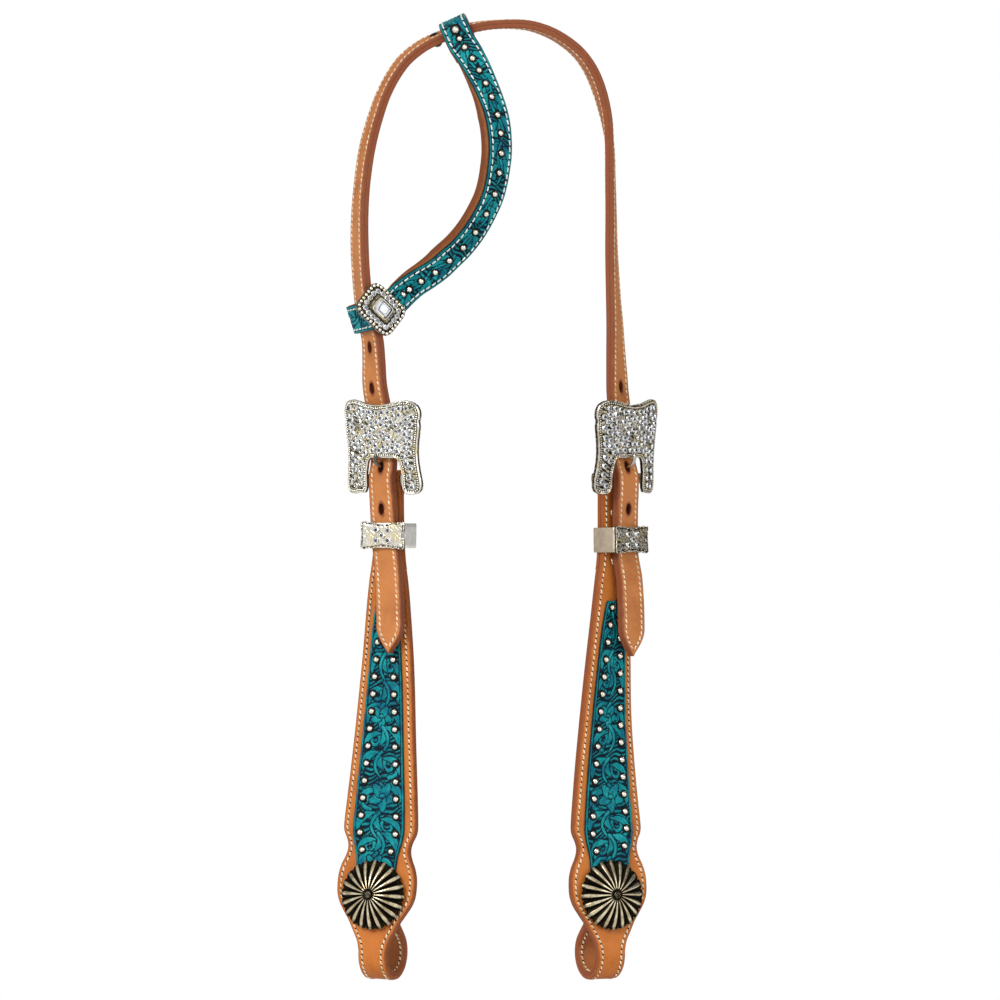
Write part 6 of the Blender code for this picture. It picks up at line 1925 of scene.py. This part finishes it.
def build_tongue_pieces(side):
    """An eye round the heel bar and a bright prong that rests over the plate's edge."""
    place = tongue_place(side)
    eye = BAR_RADIUS + EYE_CLEARANCE + EYE_WALL / 2
    middle = PLATE_BACK + PLATE_THICKNESS + TONGUE_REST_GAP + TONGUE_THICKNESS / 2
    shape = Shape()
    section = squared_oval(EYE_WALL, TONGUE_WIDTH, 4, 12)
    rings = [[place.at(w, (eye + r) * y, (eye + r) * x) for r, w in section] for x, y in circle(40)]
    shape.skin(rings, 0.7, joined=True)
    start = 0.707 * eye
    knots = [(start, start)] + [(up * PLATE_EDGE, out * middle) for up, out in TONGUE_SHARES]
    knots += [(PLATE_EDGE + TONGUE_OVERHANG, middle)]
    line = fine_route(knots, 0.0006)

    rings = []
    for i, (up, out) in enumerate(line):
        before, after = neighbours(line, i)
        run = place.along * (after[0] - before[0]) + place.out * (after[1] - before[1])
        lift = place.out * (after[0] - before[0]) - place.along * (after[1] - before[1])
        here = Frame(place.at(0.0, up, out), run, lift)
        ease = min(1.0, 0.35 + 0.65 * (len(line) - 1 - i) / 2)
        section = squared_oval(TONGUE_WIDTH * ease, TONGUE_THICKNESS * ease, 3, 14)
        rings.append([here.at(x, 0.0, z) for x, z in section])
    shape.skin(rings, 0.9)
    # The left tongue is drawn in the darker steel: painted shade
    tongue = shape.build(f"{side.name}_buckle_tongue", side.pick(dull_steel, bright_steel))
    dressed(tongue, f"{side.name}_tongue", "bright_steel", f"{side.name}_tongue")


def build_keeper_pieces(side):
    """A bent band with an engraved, stone-set plate soldered to its front."""
    name = side.name
    body = f"{name}_keeper"
    place = keeper_place(side)
    half_x = KEEPER_INNER_WIDTH / 2 + KEEPER_WALL / 2
    half_z = KEEPER_INNER_DEPTH / 2 + KEEPER_WALL / 2
    path = []
    for cx, cz, start in ((1, 1, 0), (-1, 1, 90), (-1, -1, 180), (1, -1, 270)):
        for step in range(7):
            angle = math.radians(start + 15 * step)
            nx, nz = math.cos(angle), math.sin(angle)
            x = cx * (half_x - KEEPER_BEND) + KEEPER_BEND * nx
            z = cz * (half_z - KEEPER_BEND) + KEEPER_BEND * nz
            path.append((x, z, nx, nz))
    section = []
    for face, order, shades in ((1, range(-6, 7), (0.75, 1.0)), (-1, range(6, -7, -1), (0.4, 0.4))):
        for edge in order:
            at_edge = abs(edge) == 6
            level = face * (KEEPER_WALL / 2 - (0.00022 if at_edge else 0.0))
            section.append((level, KEEPER_HEIGHT / 2 * edge / 6, shades[at_edge]))
    shape = Shape()
    rings = [[place.at(x + nx * w, y, z + nz * w) for w, y, _ in section] for x, z, nx, nz in path]
    shape.skin(rings, [brightness for _, _, brightness in section] * len(path), joined=True)
    wall = shape.build(f"{name}_keeper_band", side.pick(plain_nickel, worn_nickel))
    quarter = [(x * KEEPER_PLATE_WIDTH / 2, y * KEEPER_PLATE_HEIGHT / 2) for x, y in KEEPER_OUTLINE_SHARES]
    right = quarter + [(x, -y) for x, y in reversed(quarter[:-1])]
    outline = smooth_outline(right + [(-x, y) for x, y in reversed(right[1:-1])], step=0.0004, rounds=4)
    base = KEEPER_INNER_DEPTH / 2 + KEEPER_WALL - SOLDER_DEPTH
    thickness = KEEPER_PLATE_THICKNESS + SOLDER_DEPTH
    shape = Shape()
    silver = side.pick(keeper_silver, dark_silver)
    scrolls = scroll_field(outline, seed=side.pick(44, 51), pitch=0.0070, half=0.0055)
    face = bordered(strip=0.0006, channel=0.0011, sunk=0.00030, field=scrolls, low=side.pick(0.50, 0.1))
    plate_piece(shape, place, outline, base, thickness, face, no_fall, step=0.0004)
    plate = weld(shape.build(f"{name}_keeper_face", silver))
    dressed(join(f"{name}_engraved_keeper", [wall, plate]), body, "antique_silver", f"{name}_keeper")
    level = base + thickness
    stones = [(0.0, 0.0), (0.0036, 0.0028), (-0.0036, 0.0028), (0.0036, -0.0028), (-0.0036, -0.0028)]
    places = stone_places(stones, place, level - 0.00005, no_fall, KEEPER_STONE, seed=2)
    set_on(f"{name}_keeper_stones", places, stone, cut_stones, body, "clear_stone", smooth=False)
    set_on(f"{name}_keeper_stone_cups", places, cup, silver, body, "antique_silver")


# Ear strap
def build_ear_pieces():
    """Tooled overlay, padded lining, white stitching, spots, ornament and the hidden fixings."""
    body = "ear_strap"
    coarse = crown_frames(0.0100)
    samples, first, last = ear_samples(coarse)
    knots = distances(frames_along(samples))
    fine = frames_along(smooth_knots(samples, 0.0009))
    reach = np.array(distances(fine))
    scale = reach[-1] / knots[-1]
    start, end = knots[first] * scale, knots[last] * scale
    low = knots[first - EAR_WRAP_ROWS] * scale
    high = knots[last + EAR_WRAP_ROWS] * scale
    face = LAYER_GAP / 2 + EAR_OVERLAY_THICKNESS
    rows = [
        (place, EAR_OVERLAY_WIDTH / 2, LAYER_GAP / 2, face)
        for place, s in zip(fine, reach) if low <= s <= high
    ]
    dense = []
    for a, b in zip(rows, rows[1:]):
        dense.append(a)
        dense.append((between(a[0], b[0], 0.5), *a[1:]))
    overlay = tooled_panel(
        "ear_overlay_leather", dense, turquoise_leather, pitch=0.0130, seed=14, lanes=34, depth=0.00032,
        shown_half=0.0060)
    dressed(overlay, body, "turquoise_leather", "ear_strap_overlay")
    sew_rows("ear", seam_paths(rows[4:-4], EAR_ROW_INSET, 1, 0.0), body, "turquoise_leather", 29, white=True)
    lining_rows = []
    for place, s in zip(fine, reach):
        share = within((min(s - start, end - s) - EAR_THIN_LENGTH) / EAR_PADDING_RUN)
        margin = share * EAR_LINING_MARGIN
        depth = EAR_WRAP_LINING + share * (EAR_LINING_THICKNESS - EAR_WRAP_LINING)
        moved = Frame(place.at(margin / 2, 0.0, 0.0), place.along, place.out)
        lining_rows.append((moved, (EAR_WIDTH + margin) / 2, -depth, LAYER_JOINT))
    lining = leather_shape(lining_rows, round_in=0.0016, round_out=0.0003, lanes=10)
    lining = lining.build("ear_lining_leather_strap", ear_leather)
    dressed(lining, body, "ear_brown", "ear_strap_lining")
    at_first, at_last = (int(np.searchsorted(reach, s)) for s in (start, end))
    seat = frame_at_distance(fine, at_first, EAR_BIG_SPOT_RISE, -1)
    big = [(seat.at(0.0, 0.0, face), seat.out, seat.along, BIG_SPOT_DIAMETER)]
    small = []
    for share in EAR_SPOT_SHARES:
        place = frame_near(fine[at_first - 6:at_last + 6], share * DROP, -1)
        small.append((place.at(0.0, 0.0, face - 0.0001), place.out, place.along, SPOT_DIAMETER))
    set_on("ear_spots", big + small, spot, spot_nickel, body, "antique_nickel")
    build_ornament_pieces(frame_at_distance(fine, at_last, ORNAMENT_PLACE, -1), face, body)
    back = -EAR_WRAP_BACK
    top = -LAYER_GAP / 2 - FIT_GAP
    shape = Shape()
    head = RIVET_HEAD / 2
    turned_shape(shape, frame_at_distance(fine, at_first, WRAP_RIVET_PLACE), (
        (0.0, back - RIVET_DOME), (head * 0.45, back - RIVET_DOME * 0.9), (head * 0.88, back - RIVET_DOME * 0.4),
        (head, back), (RIVET_SHANK / 2, back), (RIVET_SHANK / 2, top), (0.0, top)), 24)
    dressed(shape.build("ear_wrap_fixing", dark_steel), body, "dark_steel", "ear_wrap_rivet")


def build_ornament_pieces(place, face, body):
    """A beaded plate set with stones round a step-cut centre stone, over its screw."""
    seat = face + ORNAMENT_SEAT_GAP
    spin = Matrix.Rotation(math.radians(ORNAMENT_TURN), 3, place.out)
    plate = Frame(place.at(ORNAMENT_LIFT, ORNAMENT_SHIFT, 0.0), spin @ place.along, place.out)
    outline = np.array(squared_oval(ORNAMENT_WIDTH, ORNAMENT_HEIGHT, 5, 160))

    def face_of(_x, _y, away):
        """Two steps up to the middle, dark at the rim and at the second step."""
        step = np.clip((away - 0.0022) / 0.0006, 0, 1) * 0.0007 + np.clip((away - 0.0052) / 0.0007, 0, 1) * 0.0011
        dark = (away < 0.0027) | ((away > 0.0051) & (away < 0.0058))
        return step - 0.0006, np.where(dark, 0.05, 0.3)

    shape = Shape()
    plate_piece(shape, plate, outline, seat, ORNAMENT_THICKNESS, face_of, no_fall, step=0.0005)
    top = seat + ORNAMENT_THICKNESS + 0.0012
    collar = ((1.16, -0.0006), (1.16, 0.0008), (1.06, 0.0014), (0.96, 0.0012), (0.94, 0.0))
    shape.skin([
        [plate.at(x, y, top + rise) for x, y in squared_oval(0.0096 * size, 0.0076 * size, 6, 48)]
        for size, rise in collar], [0.4] * 48 + [0.9] * 144 + [0.3] * 48)
    casting = weld(shape.build("ear_ornament_casting", keeper_silver))
    dressed(casting, body, "antique_silver", "ear_ornament")
    level = seat + ORNAMENT_THICKNESS - 0.0003
    beads = rim_places(outline, plate, level, no_fall, inset=0.0011, pitch=0.0023, size=0.0022)
    set_on("ear_ornament_beads", beads, bead, keeper_silver, body, "antique_silver")
    inwards = np.array([1 - 2 * 0.0038 / ORNAMENT_WIDTH, 1 - 2 * 0.0036 / ORNAMENT_HEIGHT])
    ring = rim_places(
        outline * inwards, plate, level + 0.0006, no_fall, inset=0.00001, pitch=0.0031, size=0.0028)
    set_on("ear_ornament_stone_ring", ring, stone, cut_stones, body, "clear_stone", smooth=False)
    set_on("ear_ornament_cups", ring, cup, keeper_silver, body, "antique_silver")
    gem = Shape()
    corners = (
        (0.76, 1), (1, 0.68), (1, -0.68), (0.76, -1), (-0.76, -1), (-1, -0.68), (-1, 0.68), (-0.76, 1))
    steps = ((0.95, 0.0), (1.0, 0.0006), (0.84, 0.0013), (0.68, 0.0018), (0.5, 0.0021))
    gem.skin([
        [plate.at(0.0044 * size * x, 0.0034 * size * y, top + rise) for x, y in corners] for size, rise in steps])
    centre = gem.build("ear_ornament_centre_stone", cut_stones, smooth=False)
    # Painted dark reflection on the table, painted glints on the step facets
    paint_facet_lights(centre.data, 4, lambda face: 0.42 if face.area > 0.000012 else 0.9)
    dressed(centre, body, "clear_stone", "ear_ornament_stone")
    back = -EAR_WRAP_BACK
    low = back - 0.0007
    end = back - POST_HEAD_THICKNESS
    screw = Shape()
    head = ORNAMENT_NUT / 2
    shank = ORNAMENT_POST / 2
    turned_shape(screw, place, (
        (0.0, low), (head * 0.2, low), (head * 0.25, end), (head * 0.8, end), (head, low), (head, back),
        (shank, back), (shank, seat - FIT_GAP), (0.0, seat - FIT_GAP)), 24,
        relief=(0.1, 0.1, 1, 1, 0.8, 0.4, 0.3, 0.3, 0.3))
    dressed(screw.build("ear_ornament_fixing", bright_steel), body, "antique_silver", "ear_ornament_screw")


# Studio: the photo is this wide across the headstall, in metres
PHOTO_SIZE = 0.544
FLOOR_LEVEL = -0.522
FLOOR_HALF = 8.0


def studio():
    """White studio, soft lamps, a pale floor and the camera straight in front."""
    scene = bpy.context.scene
    world = bpy.data.worlds.new("studio")
    scene.world = world
    world.use_nodes = True
    tree = world.node_tree
    tree.nodes.clear()
    way = add_node(tree, "ShaderNodeTexCoord").outputs["Generated"]
    facing = add_node(tree, "ShaderNodeVectorMath", (
        (0, way), (1, Vector((-0.55, -0.72, 0.42)).normalized())), operation="DOT_PRODUCT")
    soft = add_node(tree, "ShaderNodeMapRange", (
        ("Value", facing.outputs["Value"]), ("From Min", -0.55), ("From Max", 0.95), ("To Min", 0.20),
        ("To Max", 0.84)), interpolation_type="SMOOTHSTEP")
    room = add_node(tree, "ShaderNodeBackground", (("Strength", soft.outputs["Result"]),))
    plain = add_node(tree, "ShaderNodeBackground", (("Color", (1.0, 1.0, 1.0, 1.0)), ("Strength", 1.0)))
    seen = add_node(tree, "ShaderNodeLightPath").outputs["Is Camera Ray"]
    mix = add_node(tree, "ShaderNodeMixShader", ((0, seen), (1, room.outputs[0]), (2, plain.outputs[0])))
    add_node(tree, "ShaderNodeOutputWorld", (("Surface", mix.outputs[0]),))
    scene.view_settings.view_transform = "Standard"

    def lamp(name, direction, strength, spread):
        light = bpy.data.lights.new(name, "SUN")
        light.energy = strength
        light.angle = math.radians(spread)
        linked(name, light).rotation_euler = Vector(direction).to_track_quat("-Z", "Y").to_euler()

    lamp("key_lamp", (0.50, 0.80, -0.50), 1.9, 24)
    lamp("fill_lamp", (-0.80, 0.75, -0.15), 1.15, 50)
    lamp("back_lamp", (-0.25, -0.80, -0.65), 1.0, 35)
    floor = Surface("studio_floor")
    grey = floor.mix(floor.cloudy(3.0, 0.3, 0.7, detail=3.0), (0.80, 0.80, 0.79), (0.84, 0.84, 0.84))
    material = floor.finish(grey, floor.cloudy(40.0, 0.3, 0.7, 0.75, 0.9), None)
    corners = [(x * FLOOR_HALF, y * FLOOR_HALF, FLOOR_LEVEL) for x, y in ((-1, -1), (1, -1), (1, 1), (-1, 1))]
    new_piece("studio_floor", corners, [(0, 1, 2, 3)], material)
    camera = bpy.data.cameras.new("camera")
    camera.type = "ORTHO"
    camera.ortho_scale = PHOTO_SIZE
    camera.clip_end = 10.0
    view = linked("camera", camera)
    view.location = (-0.00544, -1.5, -0.25568)
    view.rotation_euler = (math.radians(90), 0.0, 0.0)
    scene.camera = view


studio()
build_crown_pieces()
for name in ("left", "right"):
    one = Side(name)
    build_cheek_pieces(one)
    build_inlay_pieces(one)
    build_concho_pieces(one)
    build_buckle_pieces(one)
    build_tongue_pieces(one)
    build_keeper_pieces(one)
build_ear_pieces()
